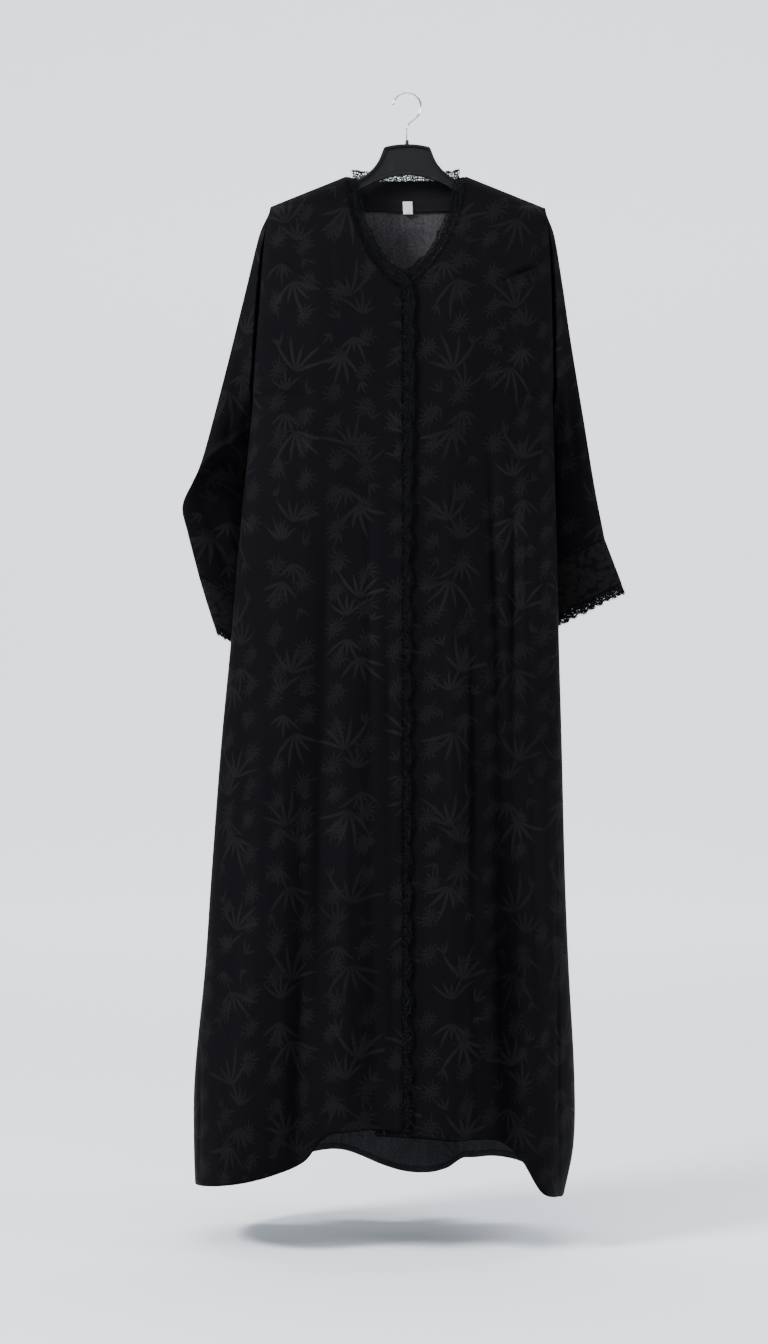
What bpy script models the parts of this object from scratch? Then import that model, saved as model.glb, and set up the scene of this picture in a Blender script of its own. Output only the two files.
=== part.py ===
"""Open abaya cloak with lace edges, hanging on a plastic hanger with a wire hook.

Metres, +Z up, the front faces -Y. The origin is the inner crown of the hook, where a rail holds it.
"Right" and "left" are the wearer's: the right front and sleeve are on the -X side.
"""

import math
from collections import namedtuple

import bmesh
import bpy

# Cloth and seams
WALL = 0.0015
LACE_WALL = 0.001
SEAM_GAP = 0.0003
SEAM_HALF = (WALL + SEAM_GAP) / 2

# Body: heights are measured from the hook's crown
CENTRE_X = -0.0015
OVERLAP_EDGE_X = -0.0075
UNDER_EDGE_X = -0.032
UNDER_STEP = 0.0045
UNDER_FADE = (0.022, 0.075)
UNDER_START = (0.16, 0.24)
CORNER_POWER = 0.8
SHOULDER_NECK = (0.0845, -0.1200)
SHOULDER_TIP_Z = -0.1655
SHOULDER_SLOPE = 0.400
SHOULDER_ROLL = 0.020
UNDERARM_Z = -0.440
ARMHOLE_HALF_WIDTH = 0.020
NECK_BOTTOM_Z = -0.283
NECK_ALONG_POWER = 1.4
NECK_DOWN_POWER = 0.526
BACK_NECK_Z = -0.1238
BACK_NECK_POWER = 3
HEM_WIDTH_Z = -1.56
FOLD_FULL_Z = -1.50
FOLD_START_WIDTH = 0.55
FOLD_EDGE_FADE = 1.6

# Sleeves hang behind the body's edge
SLEEVE_CLEARANCE = 0.0055
SLEEVE_MIN_DEPTH = 0.012
SLEEVE_RELEASE = 3.0
UNDERARM_RELEASE = 1.5
UNDERARM_MARGIN = 0.010
CUFF_SEAM = 0.0014

# Cuffs and lace
CUFF_LACE_STRIP = 0.006
CUFF_LACE_STRAND = 0.015
CUFF_STRANDS_A_SIDE = 24
STRAND_TAPER = 0.6
LACE_SEAM = 0.0011
CUFF_LACE_SEAM = 0.00095
CUFF_LACE_SPLIT = 0.012
CUFF_END_STEP = 0.9
STRAND_KNEE = 0.6
STRAND_UNEVEN = 0.3
STRAND_PHASE = 7.3
NECK_LACE = 0.013
FRONT_LACE = 0.019
SCALLOP_PITCH = 0.050
SCALLOP_DEPTH = 0.0045
BACK_LACE_HEIGHT = 0.0135
BACK_LACE_HALF = 0.079
BACK_LACE_CELLS = 39
BACK_LACE_GAP_CELLS = 3
BACK_LACE_LEAN = 0.1

# Neck facing and label
FACING_STEP = 0.0024
FACING_TOP_GAP = 0.0015
FACING_BOTTOM_Z = -0.169
FACING_HALF_WIDTH = 0.076
LABEL_SIZE = (0.0142, 0.0185)
LABEL_TOP = (-0.0062, -0.1540)
LABEL_SKEW = 0.05
LABEL_WALL = 0.0005
LABEL_STEP = 0.0016

# Hook and collar
HOOK_WIRE_RADIUS = 0.0013
HOOK_CROWN_RADIUS = 0.0205
HOOK_END_BALL = 0.0021
HOOK_END_TURN = math.radians(168.0)
HOOK_LEAVE_TURN = math.radians(-38.0)
HOOK_LEAVE_SLOPE = 0.84
HOOK_SHAFT_TOP_Z = -0.0495
COLLAR_RADIUS = 0.0021
COLLAR_WALL = 0.0009
COLLAR_HEIGHT = 0.0068
SOCKET_RADIUS = 0.0017
SOCKET_DEPTH = 0.008

# Hanger
HANGER_THICKNESS = 0.010
HANGER_EDGE_ROUND = 0.0036
HANGER_TIP_X = 0.1870
HANGER_ARM_TIP_HEIGHT = 0.011
HANGER_TOP_Z = -0.0742
HANGER_ARM_DROP = 0.0039
ARM_SEAT_X = 0.112
ARCH_TOP_Z = -0.1179
ARCH_END = (0.0684, -0.1406)
ARCH_POWER = 1.9
HangerPoint = namedtuple("HangerPoint", "x z")
HANGER_PLATE_SIDE = [
    HangerPoint(0.0170, -0.0752),
    HangerPoint(0.0330, -0.0787),
    HangerPoint(0.0360, -0.0855),
    HangerPoint(0.0415, -0.0985),
    HangerPoint(0.0505, -0.1106),
    HangerPoint(0.0662, -0.1232),
    HangerPoint(0.0860, -0.1315),
]
HANGER_ARM_TIP = [
    HangerPoint(-0.004, 0.0016),
    HangerPoint(0.0, -0.004),
    HangerPoint(-0.004, -HANGER_ARM_TIP_HEIGHT),
]
HANGER_ARM_UNDERSIDE = HangerPoint(0.130, -0.1605)

Section = namedtuple("Section", "z right left front back")
SECTIONS = [
    Section(-0.110, -0.197, 0.198, 0.018, 0.017),
    Section(-0.165, -0.198, 0.200, 0.021, 0.020),
    Section(-0.230, -0.207, 0.2055, 0.034, 0.027),
    Section(-0.320, -0.2136, 0.209, 0.044, 0.032),
    Section(-0.477, -0.2264, 0.212, 0.052, 0.035),
    Section(-0.637, -0.2421, 0.2165, 0.060, 0.041),
    Section(-0.797, -0.2556, 0.2203, 0.069, 0.052),
    Section(-0.950, -0.2700, 0.2245, 0.080, 0.068),
    Section(-1.138, -0.2840, 0.2290, 0.095, 0.090),
    Section(-1.270, -0.2930, 0.2343, 0.107, 0.106),
    Section(-1.429, -0.3080, 0.2425, 0.121, 0.122),
    Section(-1.525, -0.3090, 0.2410, 0.128, 0.132),
    Section(-1.600, -0.3065, 0.2260, 0.131, 0.137),
]

HemPoint = namedtuple("HemPoint", "x z")
FRONT_RIGHT_HEM = [
    HemPoint(-0.307, -1.580),
    HemPoint(-0.255, -1.568),
    HemPoint(-0.181, -1.548),
    HemPoint(-0.145, -1.532),
    HemPoint(-0.121, -1.500),
    HemPoint(-0.100, -1.487),
    HemPoint(0.000, -1.489),
]
FRONT_LEFT_HEM = [
    HemPoint(-0.040, -1.496),
    HemPoint(0.063, -1.498),
    HemPoint(0.118, -1.504),
    HemPoint(0.153, -1.527),
    HemPoint(0.192, -1.577),
    HemPoint(0.229, -1.594),
]
BACK_HEM = [
    HemPoint(-0.307, -1.580),
    HemPoint(-0.220, -1.574),
    HemPoint(-0.115, -1.561),
    HemPoint(-0.034, -1.584),
    HemPoint(0.034, -1.598),
    HemPoint(0.063, -1.592),
    HemPoint(0.090, -1.569),
    HemPoint(0.163, -1.573),
    HemPoint(0.229, -1.594),
]

# Folds run down the cloth: where they lie at the hem and at the start, how wide, how deep at the hem
Fold = namedtuple("Fold", "hem_x top_x start_z width depth")
FRONT_FOLDS = [
    Fold(-0.236, -0.150, -0.55, 0.042, 0.012),
    Fold(-0.150, -0.105, -0.50, 0.030, -0.016),
    Fold(-0.095, -0.075, -0.60, 0.024, 0.012),
    Fold(-0.040, -0.050, -0.75, 0.026, -0.010),
    Fold(0.058, 0.060, -0.35, 0.034, 0.015),
    Fold(0.136, 0.118, -0.30, 0.030, -0.028),
    Fold(0.196, 0.165, -0.45, 0.024, 0.010),
]
BACK_FOLDS = [
    Fold(-0.235, -0.160, -0.50, 0.040, 0.012),
    Fold(-0.165, -0.110, -0.42, 0.034, -0.018),
    Fold(-0.085, -0.055, -0.30, 0.036, 0.016),
    Fold(-0.010, -0.010, -0.26, 0.030, -0.014),
    Fold(0.050, 0.040, -0.34, 0.026, 0.016),
    Fold(0.100, 0.085, -0.38, 0.024, -0.022),
    Fold(0.165, 0.140, -0.50, 0.030, 0.012),
]

# A sleeve's sections: its outer and inner edges, half its depth, and how its front wall is moved
Ring = namedtuple("Ring", "outer inner half front_out front_lift")
RIGHT_SLEEVE = [
    Ring((-0.1988, 0.000, -0.1665), (-0.2257, 0.000, -0.4400), 0.0210, 0.0, 0.0),
    Ring((-0.2150, 0.001, -0.2080), (-0.2275, 0.001, -0.4420), 0.0195, 0.0, 0.0),
    Ring((-0.2372, 0.006, -0.2968), (-0.2285, 0.006, -0.4480), 0.0175, 0.0, 0.0),
    Ring((-0.2648, 0.009, -0.4067), (-0.2225, 0.020, -0.4760), 0.0165, 0.001, 0.0),
    Ring((-0.2925, 0.008, -0.5122), (-0.2150, 0.040, -0.5150), 0.0165, 0.006, 0.018),
    Ring((-0.3040, 0.006, -0.5480), (-0.2080, 0.050, -0.5400), 0.0165, 0.012, 0.032),
    Ring((-0.3130, 0.010, -0.5660), (-0.2040, 0.056, -0.5600), 0.0155, 0.000, 0.030),
    Ring((-0.3274, 0.014, -0.5995), (-0.1990, 0.062, -0.6020), 0.0150, -0.003, 0.012),
    Ring((-0.3201, 0.018, -0.6373), (-0.1940, 0.067, -0.6650), 0.0160, 0.0, 0.0),
    Ring((-0.3040, 0.020, -0.7000), (-0.1810, 0.072, -0.7720), 0.0175, 0.0, 0.0),
]
RIGHT_CUFF = [
    Ring((-0.3040, 0.020, -0.7000), (-0.1810, 0.072, -0.7720), 0.0175, 0.0, 0.0),
    Ring((-0.2935, 0.021, -0.7350), (-0.1735, 0.073, -0.8080), 0.0185, 0.0, 0.0),
    Ring((-0.2825, 0.022, -0.7700), (-0.1660, 0.074, -0.8450), 0.0190, 0.0, 0.0),
]
LEFT_SLEEVE = [
    Ring((0.2010, 0.000, -0.1665), (0.2133, 0.000, -0.4400), 0.0210, 0.0, 0.0),
    Ring((0.2140, 0.001, -0.2080), (0.2165, 0.001, -0.4420), 0.0195, 0.0, 0.0),
    Ring((0.2264, 0.004, -0.2808), (0.2175, 0.005, -0.4490), 0.0175, 0.0, 0.0),
    Ring((0.2363, 0.008, -0.3463), (0.2130, 0.016, -0.4780), 0.0165, 0.0, 0.0),
    Ring((0.2488, 0.011, -0.4220), (0.2055, 0.034, -0.5270), 0.0160, 0.0, 0.0),
    Ring((0.2590, 0.014, -0.4816), (0.1900, 0.050, -0.5780), 0.0160, 0.0, 0.0),
    Ring((0.2740, 0.017, -0.5720), (0.1700, 0.060, -0.6480), 0.0165, 0.0, 0.0),
    Ring((0.2890, 0.020, -0.6475), (0.1500, 0.068, -0.7120), 0.0175, 0.0, 0.0),
]
LEFT_CUFF = [
    Ring((0.2890, 0.020, -0.6475), (0.1500, 0.068, -0.7120), 0.0175, 0.0, 0.0),
    Ring((0.3020, 0.021, -0.6810), (0.1615, 0.070, -0.7480), 0.0185, 0.0, 0.0),
    Ring((0.3135, 0.022, -0.7110), (0.1730, 0.072, -0.7830), 0.0190, 0.0, 0.0),
]

# Mesh steps
BODY_ROWS = 22
NECK_COLUMNS = 7
SIDE_COLUMNS = 12
BACK_COLUMNS = 26
BACK_NECK_SHARE = 0.36
NECK_COLUMN_POWER = 1.4
SIDE_COLUMN_POWER = 2
ROW_SPREAD = 2.0
SLEEVE_AROUND = 20
ROWS_A_RING = 2
CUFF_ROWS = 2
NECK_LACE_STEPS = 20
LACE_WIDENING_STEPS = 4
SCALLOP_STEPS = 4
FACING_GRID = (12, 4)
LABEL_GRID = (2, 2)
ROUND_SEGMENTS = 16
BALL_GRID = (12, 8)
WIRE_RESOLUTION = 2
HANGER_EDGE_SEGMENTS = 3
HANGER_EDGE_ANGLE = math.radians(60.0)
ARCH_STEPS = 6
HOOK_TURN_STEPS = 16
HOOK_LEAVE_STEPS = 6


def clamp(value, low=0.0, high=1.0):
    """Keeps a value between two others."""
    return max(low, min(high, value))


def soft_step(value, start, end):
    """0 before the start, 1 after the end, smooth between them."""
    t = clamp((value - start) / (end - start))
    return t * t * (3.0 - 2.0 * t)


def curve_through(xs, ys, at):
    """Smooth value at a place along points whose xs rise; level beyond both ends."""
    if at <= xs[0]:
        return ys[0]
    if at >= xs[-1]:
        return ys[-1]
    k = max(i for i in range(len(xs) - 1) if xs[i] <= at)
    span = xs[k + 1] - xs[k]
    t = (at - xs[k]) / span

    def slope(i):
        low = max(i - 1, 0)
        high = min(i + 1, len(xs) - 1)
        return (ys[high] - ys[low]) / (xs[high] - xs[low])

    start = slope(k) * span
    end = slope(k + 1) * span
    a = 2 * t**3 - 3 * t**2 + 1
    b = t**3 - 2 * t**2 + t
    c = -2 * t**3 + 3 * t**2
    d = t**3 - t**2
    return a * ys[k] + b * start + c * ys[k + 1] + d * end


def section_value(column, z):
    """One column of SECTIONS at a height."""
    depths = [-row.z for row in SECTIONS]
    values = [getattr(row, column) for row in SECTIONS]
    return curve_through(depths, values, -z)


def hem_height(rows, x):
    """Height of a hem at a place across it."""
    return curve_through([row.x for row in rows], [row.z for row in rows], x)


def shoulder_line(x):
    """Height of the shoulder's ridge; over the neck the line only guides the panels' depth."""
    neck_x, neck_z = SHOULDER_NECK
    return neck_z - SHOULDER_SLOPE * (abs(x - CENTRE_X) - neck_x)


def half_width(side, z):
    """Signed distance from the centre line to the body's widest point."""
    return section_value(side, z) - CENTRE_X


def armhole_half(z):
    """Half the armhole's opening from front to back."""
    span = SHOULDER_TIP_Z - UNDERARM_Z
    down = clamp((SHOULDER_TIP_Z - z) / span)
    round_edge = math.sqrt(max(0.0, 1.0 - (1.0 - 2.0 * down) ** 2))
    return max(ARMHOLE_HALF_WIDTH * round_edge**CORNER_POWER, SEAM_HALF)


def fold_relief(folds, x, z):
    """How far the folds push the cloth out at a place."""
    relief = 0.0
    for fold in folds:
        grown = soft_step(-z, -fold.start_z, -FOLD_FULL_Z)
        down = clamp((z - fold.start_z) / (FOLD_FULL_Z - fold.start_z))
        middle = fold.top_x + (fold.hem_x - fold.top_x) * down
        width = fold.width * (FOLD_START_WIDTH + (1.0 - FOLD_START_WIDTH) * grown)
        relief += fold.depth * grown * math.exp(-(((x - middle) / width) ** 2))
    return relief


def body_depth(face, x, z):
    """Distance of the front or back cloth from the plane through both shoulders."""
    side = "left" if x > CENTRE_X else "right"
    reach = clamp(abs((x - CENTRE_X) / half_width(side, z)))
    bow = (1.0 - reach ** (2.0 / CORNER_POWER)) ** (CORNER_POWER / 2.0)
    opening = armhole_half(z)
    full = section_value(face, z)
    below_ridge = clamp((shoulder_line(x) - z) / SHOULDER_ROLL)
    rolled = math.sqrt(max(0.0, 1.0 - (1.0 - below_ridge) ** 2))
    folds = FRONT_FOLDS if face == "front" else BACK_FOLDS
    relief = fold_relief(folds, x, z) * min(1.0, FOLD_EDGE_FADE * bow)
    return max((opening + (full - opening) * bow) * rolled + relief, SEAM_HALF)


def neck_edge(side, x):
    """Height of the V neck's cloth edge on one front."""
    start = OVERLAP_EDGE_X
    end = CENTRE_X + math.copysign(SHOULDER_NECK[0], half_width(side, NECK_BOTTOM_Z))
    along = (x - start) / (end - start)
    if along <= 0.0:
        return NECK_BOTTOM_Z + abs(end - start) * along
    neck_z = SHOULDER_NECK[1] - SEAM_GAP
    down = (1.0 - min(along, 1.0) ** NECK_ALONG_POWER) ** NECK_DOWN_POWER
    return neck_z + (NECK_BOTTOM_Z - neck_z) * down


def front_depth(side, x, z):
    """Depth of a front panel; the under front lies behind the upper one near the overlap."""
    depth = body_depth("front", x, z)
    if side == "left":
        depth -= UNDER_STEP * (1.0 - soft_step(x, *UNDER_FADE)) * soft_step(-z, *UNDER_START)
    return depth


def column_reach(index, edge_reach, neck_reach):
    """Where a front's column lies across it: from its edge, past the neck point, to the side."""
    if index <= NECK_COLUMNS:
        part = index / NECK_COLUMNS
        return edge_reach + (neck_reach - edge_reach) * (1.0 - (1.0 - part) ** NECK_COLUMN_POWER)
    part = (index - NECK_COLUMNS) / SIDE_COLUMNS
    return neck_reach + (1.0 - neck_reach) * (1.0 - (1.0 - part) ** SIDE_COLUMN_POWER)


def front_point(side, column, row):
    """A point of a front panel, by its column and its share of the way down."""
    edge_x = OVERLAP_EDGE_X if side == "right" else UNDER_EDGE_X
    hem = FRONT_RIGHT_HEM if side == "right" else FRONT_LEFT_HEM
    reference = half_width(side, SHOULDER_TIP_Z)
    neck_reach = SHOULDER_NECK[0] / abs(reference)
    reach = column_reach(column, (edge_x - CENTRE_X) / reference, neck_reach)
    top_x = CENTRE_X + reference * reach
    top = neck_edge(side, top_x) if reach < neck_reach else shoulder_line(top_x)
    bottom = hem_height(hem, CENTRE_X + half_width(side, HEM_WIDTH_Z) * reach)
    z = top + (bottom - top) * row
    if reach < neck_reach:
        inner = edge_x - CENTRE_X
        outer = half_width(side, z) * neck_reach
        across = (reach * reference - inner) / (neck_reach * reference - inner)
        neck_x = math.copysign(SHOULDER_NECK[0], reference)
        outer = neck_x + (outer - neck_x) * row
        x = CENTRE_X + inner + (outer - inner) * across
    else:
        neck_x = math.copysign(SHOULDER_NECK[0], reference)
        inner = neck_x + (half_width(side, z) * neck_reach - neck_x) * row
        across = (reach - neck_reach) / (1.0 - neck_reach)
        x = CENTRE_X + inner + (half_width(side, z) - inner) * across
    return x, -front_depth(side, x, z), z


def back_point(column, row):
    """A point of the back panel; column runs from -1 at the right side to 1 at the left."""
    side = "left" if column > 0 else "right"
    share = abs(column)
    reference = half_width(side, SHOULDER_TIP_Z)
    neck_reach = SHOULDER_NECK[0] / abs(reference)
    if share < BACK_NECK_SHARE:
        reach = neck_reach * share / BACK_NECK_SHARE
    else:
        part = (share - BACK_NECK_SHARE) / (1.0 - BACK_NECK_SHARE)
        reach = neck_reach + (1.0 - neck_reach) * (1.0 - (1.0 - part) ** SIDE_COLUMN_POWER)
    top_x = CENTRE_X + reference * reach
    if reach < neck_reach:
        dip = (1.0 - (reach / neck_reach) ** BACK_NECK_POWER) * (SHOULDER_NECK[1] - BACK_NECK_Z)
        top = SHOULDER_NECK[1] - dip
    else:
        top = shoulder_line(top_x)
    bottom = hem_height(BACK_HEM, CENTRE_X + half_width(side, HEM_WIDTH_Z) * reach)
    z = top + (bottom - top) * row
    x = CENTRE_X + half_width(side, z) * reach
    return x, body_depth("back", x, z), z


def clear_of_back(x, y, z, bulge):
    """Keeps a sleeve's wall behind the body's edge and back panel."""
    side = "left" if x > CENTRE_X else "right"
    outside = abs(x - CENTRE_X) - abs(half_width(side, z))
    if outside > 0.0:
        nearest = SLEEVE_CLEARANCE - SLEEVE_RELEASE * outside
    else:
        nearest = body_depth("back", x, z) + SLEEVE_CLEARANCE
    if bulge < 0.0:
        nearest += SLEEVE_MIN_DEPTH * -bulge
    return max(y, nearest)


def outside_armhole(x, z):
    """Keeps a sleeve outside the body's edge down to the underarm, and frees it below."""
    side = "left" if x > CENTRE_X else "right"
    edge = abs(half_width(side, z)) + WALL + 2 * SEAM_GAP
    edge -= UNDERARM_RELEASE * max(0.0, UNDERARM_Z - UNDERARM_MARGIN - z)
    return CENTRE_X + math.copysign(max(abs(x - CENTRE_X), edge), x - CENTRE_X)


def at_armhole(x, z):
    """The place of the armhole's seam just outside the body's outer face, at a height."""
    side = "left" if x > CENTRE_X else "right"
    return CENTRE_X + half_width(side, z) + math.copysign(WALL + 2 * SEAM_GAP, x - CENTRE_X)


def ring_point(rings, along, around):
    """A point of a sleeve: its share of the way down, and its angle from the outer edge, front first."""
    places = list(range(len(rings)))
    at = along * (len(rings) - 1)

    def smooth(values):
        return curve_through(places, values, at)

    outer = [smooth([ring.outer[axis] for ring in rings]) for axis in range(3)]
    inner = [smooth([ring.inner[axis] for ring in rings]) for axis in range(3)]
    half = smooth([ring.half for ring in rings])
    out = smooth([ring.front_out for ring in rings])
    lift = smooth([ring.front_lift for ring in rings])
    share = (1.0 - math.cos(around)) / 2.0
    side = math.sin(around)
    bulge = math.copysign(abs(side) ** CORNER_POWER, side)
    front = max(side, 0.0) ** 2
    x = outer[0] + (inner[0] - outer[0]) * share
    y = outer[1] + (inner[1] - outer[1]) * share - half * bulge - out * front
    z = outer[2] + (inner[2] - outer[2]) * share + lift * front
    if rings[0].half < ARMHOLE_HALF_WIDTH:
        return x, clear_of_back(x, y, z, bulge), z
    freed = soft_step(at, 0.0, 0.5)
    x += (at_armhole(x, z) - x) * (1.0 - clamp(at)) ** 2
    x = outside_armhole(x, z)
    return x, y + (clear_of_back(x, y, z, bulge) - y) * freed, z


def material(name, color, roughness, metallic=0.0):
    """A Principled material."""
    made = bpy.data.materials.new(name)
    made.use_nodes = True
    shader = made.node_tree.nodes["Principled BSDF"]
    shader.inputs["Base Color"].default_value = (*color, 1.0)
    shader.inputs["Roughness"].default_value = roughness
    shader.inputs["Metallic"].default_value = metallic
    return made


def add_object(name, mesh, finish, root, collection):
    """Puts a mesh in the object's collection, under the hook point."""
    mesh.materials.clear()
    mesh.materials.append(finish)
    made = bpy.data.objects.new(name, mesh)
    made.parent = root
    collection.objects.link(made)
    return made


def sheet(name, columns, rows, point, wall, finish, place, kept=None, closed=False):
    """A cloth wall: a grid laid out by a point function, with openings left out, and thickened."""
    bm = bmesh.new()
    bmesh.ops.create_grid(bm, x_segments=columns, y_segments=rows, size=1.0)
    if kept:
        dropped = []
        for face in bm.faces:
            middle = face.calc_center_median()
            column = int((middle.x + 1.0) / 2.0 * columns)
            row = int((middle.y + 1.0) / 2.0 * rows)
            if not kept(column, row):
                dropped.append(face)
        bmesh.ops.delete(bm, geom=dropped, context="FACES")
    for vertex in bm.verts:
        vertex.co = point((vertex.co.x + 1.0) / 2.0, (vertex.co.y + 1.0) / 2.0)
    if closed:
        bmesh.ops.remove_doubles(bm, verts=bm.verts, dist=1e-6)
    bmesh.ops.recalc_face_normals(bm, faces=bm.faces)
    mesh = bpy.data.meshes.new(name)
    bm.to_mesh(mesh)
    bm.free()
    mesh.shade_smooth()
    made = add_object(name, mesh, finish, *place)
    solidify = made.modifiers.new("wall", "SOLIDIFY")
    solidify.thickness = wall
    solidify.offset = 0.0
    return made


def spread(row):
    """Rows lie closer at the top, where the shoulder rolls over."""
    return row**ROW_SPREAD


def add_body(cloth, place):
    """The two fronts and the back."""
    columns = NECK_COLUMNS + SIDE_COLUMNS
    for side in ("right", "left"):
        sheet(
            f"front_{side}",
            columns,
            BODY_ROWS,
            lambda u, v, side=side: front_point(side, u * columns, spread(v)),
            WALL,
            cloth,
            place,
        )
    sheet(
        "back",
        BACK_COLUMNS,
        BODY_ROWS,
        lambda u, v: back_point(2.0 * u - 1.0, spread(v)),
        WALL,
        cloth,
        place,
    )


def add_sleeve(side, sleeve, cuff, cloth, place):
    """A sleeve and the cuff sewn to its end."""
    turn = 2.0 * math.pi
    last_ring = math.dist(sleeve[-1].outer, sleeve[-2].outer)
    end = 1.0 - CUFF_SEAM / last_ring / (len(sleeve) - 1)
    sheet(
        f"sleeve_{side}",
        SLEEVE_AROUND,
        ROWS_A_RING * (len(sleeve) - 1),
        lambda u, v: ring_point(sleeve, v * end, u * turn),
        WALL,
        cloth,
        place,
        closed=True,
    )
    sheet(
        f"cuff_{side}",
        SLEEVE_AROUND,
        CUFF_ROWS,
        lambda u, v: ring_point(cuff, v, u * turn),
        WALL,
        cloth,
        place,
        closed=True,
    )


def lace_route(side):
    """Places along a front's edge from the neck point to the hem, each with the way the lace points."""
    edge_x = OVERLAP_EDGE_X if side == "right" else UNDER_EDGE_X
    hem = FRONT_RIGHT_HEM if side == "right" else FRONT_LEFT_HEM
    way = 1.0 if side == "right" else -1.0
    places = []
    for step in range(NECK_LACE_STEPS):
        column = NECK_COLUMNS * (1.0 - (step + 1) / (NECK_LACE_STEPS + 1))
        whole = min(int(column), NECK_COLUMNS - 1)
        part = column - whole
        low = front_point(side, whole, 0.0)
        high = front_point(side, whole + 1, 0.0)
        places.append((low[0] + (high[0] - low[0]) * part, low[2] + (high[2] - low[2]) * part))
    top = front_point(side, 0, 0.0)[2]
    bottom = hem_height(hem, edge_x)
    per_scallop = SCALLOP_STEPS if side == "right" else 1
    steps = round((top - bottom) / SCALLOP_PITCH) * per_scallop
    for step in range(steps + 1):
        places.append((edge_x, top + (bottom - top) * step / steps))
    return places, way


def lace_reach(step, along):
    """How far the lace stands out: narrow round the neck, wider and scalloped down the front."""
    if step < NECK_LACE_STEPS:
        widened = soft_step(step, NECK_LACE_STEPS - LACE_WIDENING_STEPS, NECK_LACE_STEPS)
        return NECK_LACE + (FRONT_LACE - NECK_LACE) * widened
    scallop = abs(math.sin(math.pi * along / SCALLOP_PITCH))
    return FRONT_LACE - SCALLOP_DEPTH * (1.0 - scallop)


def front_lace_point(side, places, way, u, v):
    """A point of a front's lace: u runs out from the cloth's edge, v runs from the neck to the hem."""
    last = len(places) - 1
    step = min(round(v * last), last)
    x, z = places[step]
    before = places[max(step - 1, 0)]
    after = places[min(step + 1, last)]
    length = math.dist(before, after)
    out_x = (before[1] - after[1]) / length * way
    out_z = (after[0] - before[0]) / length * way
    reach = LACE_SEAM + lace_reach(step, places[NECK_LACE_STEPS][1] - z) * u
    x += out_x * reach
    z += out_z * reach
    return x, -front_depth(side, x, z), z


def add_front_lace(lace, place):
    """The lace sewn to each front's neck and edge."""
    for side in ("right", "left"):
        places, way = lace_route(side)
        sheet(
            f"lace_front_{side}",
            2,
            len(places) - 1,
            lambda u, v, side=side, places=places, way=way: front_lace_point(side, places, way, u, v),
            LACE_WALL,
            lace,
            place,
        )


def add_back_neck_lace(lace, place):
    """The lace that stands on the back neck, with its largest gaps cut through."""

    def point(u, v):
        x = CENTRE_X + BACK_LACE_HALF * (2.0 * u - 1.0)
        share = abs(x - CENTRE_X) / SHOULDER_NECK[0]
        base = SHOULDER_NECK[1] - (1.0 - share**BACK_NECK_POWER) * (SHOULDER_NECK[1] - BACK_NECK_Z)
        z = base + LACE_SEAM + BACK_LACE_HEIGHT * v
        return x, body_depth("back", x, base) + BACK_LACE_LEAN * BACK_LACE_HEIGHT * v, z

    def kept(column, row):
        return row != 1 or column % BACK_LACE_GAP_CELLS == 0

    sheet("lace_neck_back", BACK_LACE_CELLS + 1, 3, point, LACE_WALL, lace, place, kept=kept)


def add_cuff_lace(side, cuff, lace, place):
    """Eyelash lace round a cuff, cut into a front and a back half; its strands hang from a strip."""
    columns = 2 * CUFF_STRANDS_A_SIDE - 1
    length = CUFF_LACE_STRIP + CUFF_LACE_STRAND
    rows = (0.0, CUFF_LACE_STRIP / length, STRAND_KNEE, 1.0)

    def point(u, v, start):
        around = start + math.pi * (CUFF_LACE_SPLIT + (1.0 - 2.0 * CUFF_LACE_SPLIT) * u)
        row = round(v * 3)
        if row > 1:
            column = round(u * columns)
            middle = (column - column % 2 + 0.5) / columns
            taper = STRAND_TAPER * (rows[row] - rows[1])
            around += (middle - u) * math.pi * taper
        end = ring_point(cuff, 1.0, around)
        before = ring_point(cuff, CUFF_END_STEP, around)
        step = math.dist(end, before)
        reach = CUFF_LACE_SEAM + length * rows[row]
        if row == 3:
            wave = 0.5 + 0.5 * math.sin(STRAND_PHASE * (column - column % 2))
            reach -= STRAND_UNEVEN * CUFF_LACE_STRAND * wave
        x, y, z = [e + (e - b) / step * reach for e, b in zip(end, before)]
        return x, clear_of_back(x, y, z, 0.0), z

    def kept(column, row):
        return row == 0 or column % 2 == 0

    for face, start in (("front", 0.0), ("back", math.pi)):
        sheet(
            f"lace_cuff_{side}_{face}",
            columns,
            3,
            lambda u, v, start=start: point(u, v, start),
            LACE_WALL,
            lace,
            place,
            kept=kept,
        )


def add_neck_facing(facing, place):
    """The band inside the back neck, just clear of the back panel."""

    def point(u, v):
        x = CENTRE_X + FACING_HALF_WIDTH * (2.0 * u - 1.0)
        top = BACK_NECK_Z - FACING_TOP_GAP
        z = top + (FACING_BOTTOM_Z - top) * v
        return x, body_depth("back", x, z) - FACING_STEP, z

    sheet("neck_facing", *FACING_GRID, point, WALL, facing, place)


def add_label(label, place):
    """The small blank label that hangs on the facing."""

    def point(u, v):
        x = LABEL_TOP[0] + LABEL_SIZE[0] * u + LABEL_SKEW * LABEL_SIZE[1] * v
        z = LABEL_TOP[1] - LABEL_SIZE[1] * v
        return x, body_depth("back", x, z) - FACING_STEP - LABEL_STEP, z

    sheet("label", *LABEL_GRID, point, LABEL_WALL, label, place)


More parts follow.
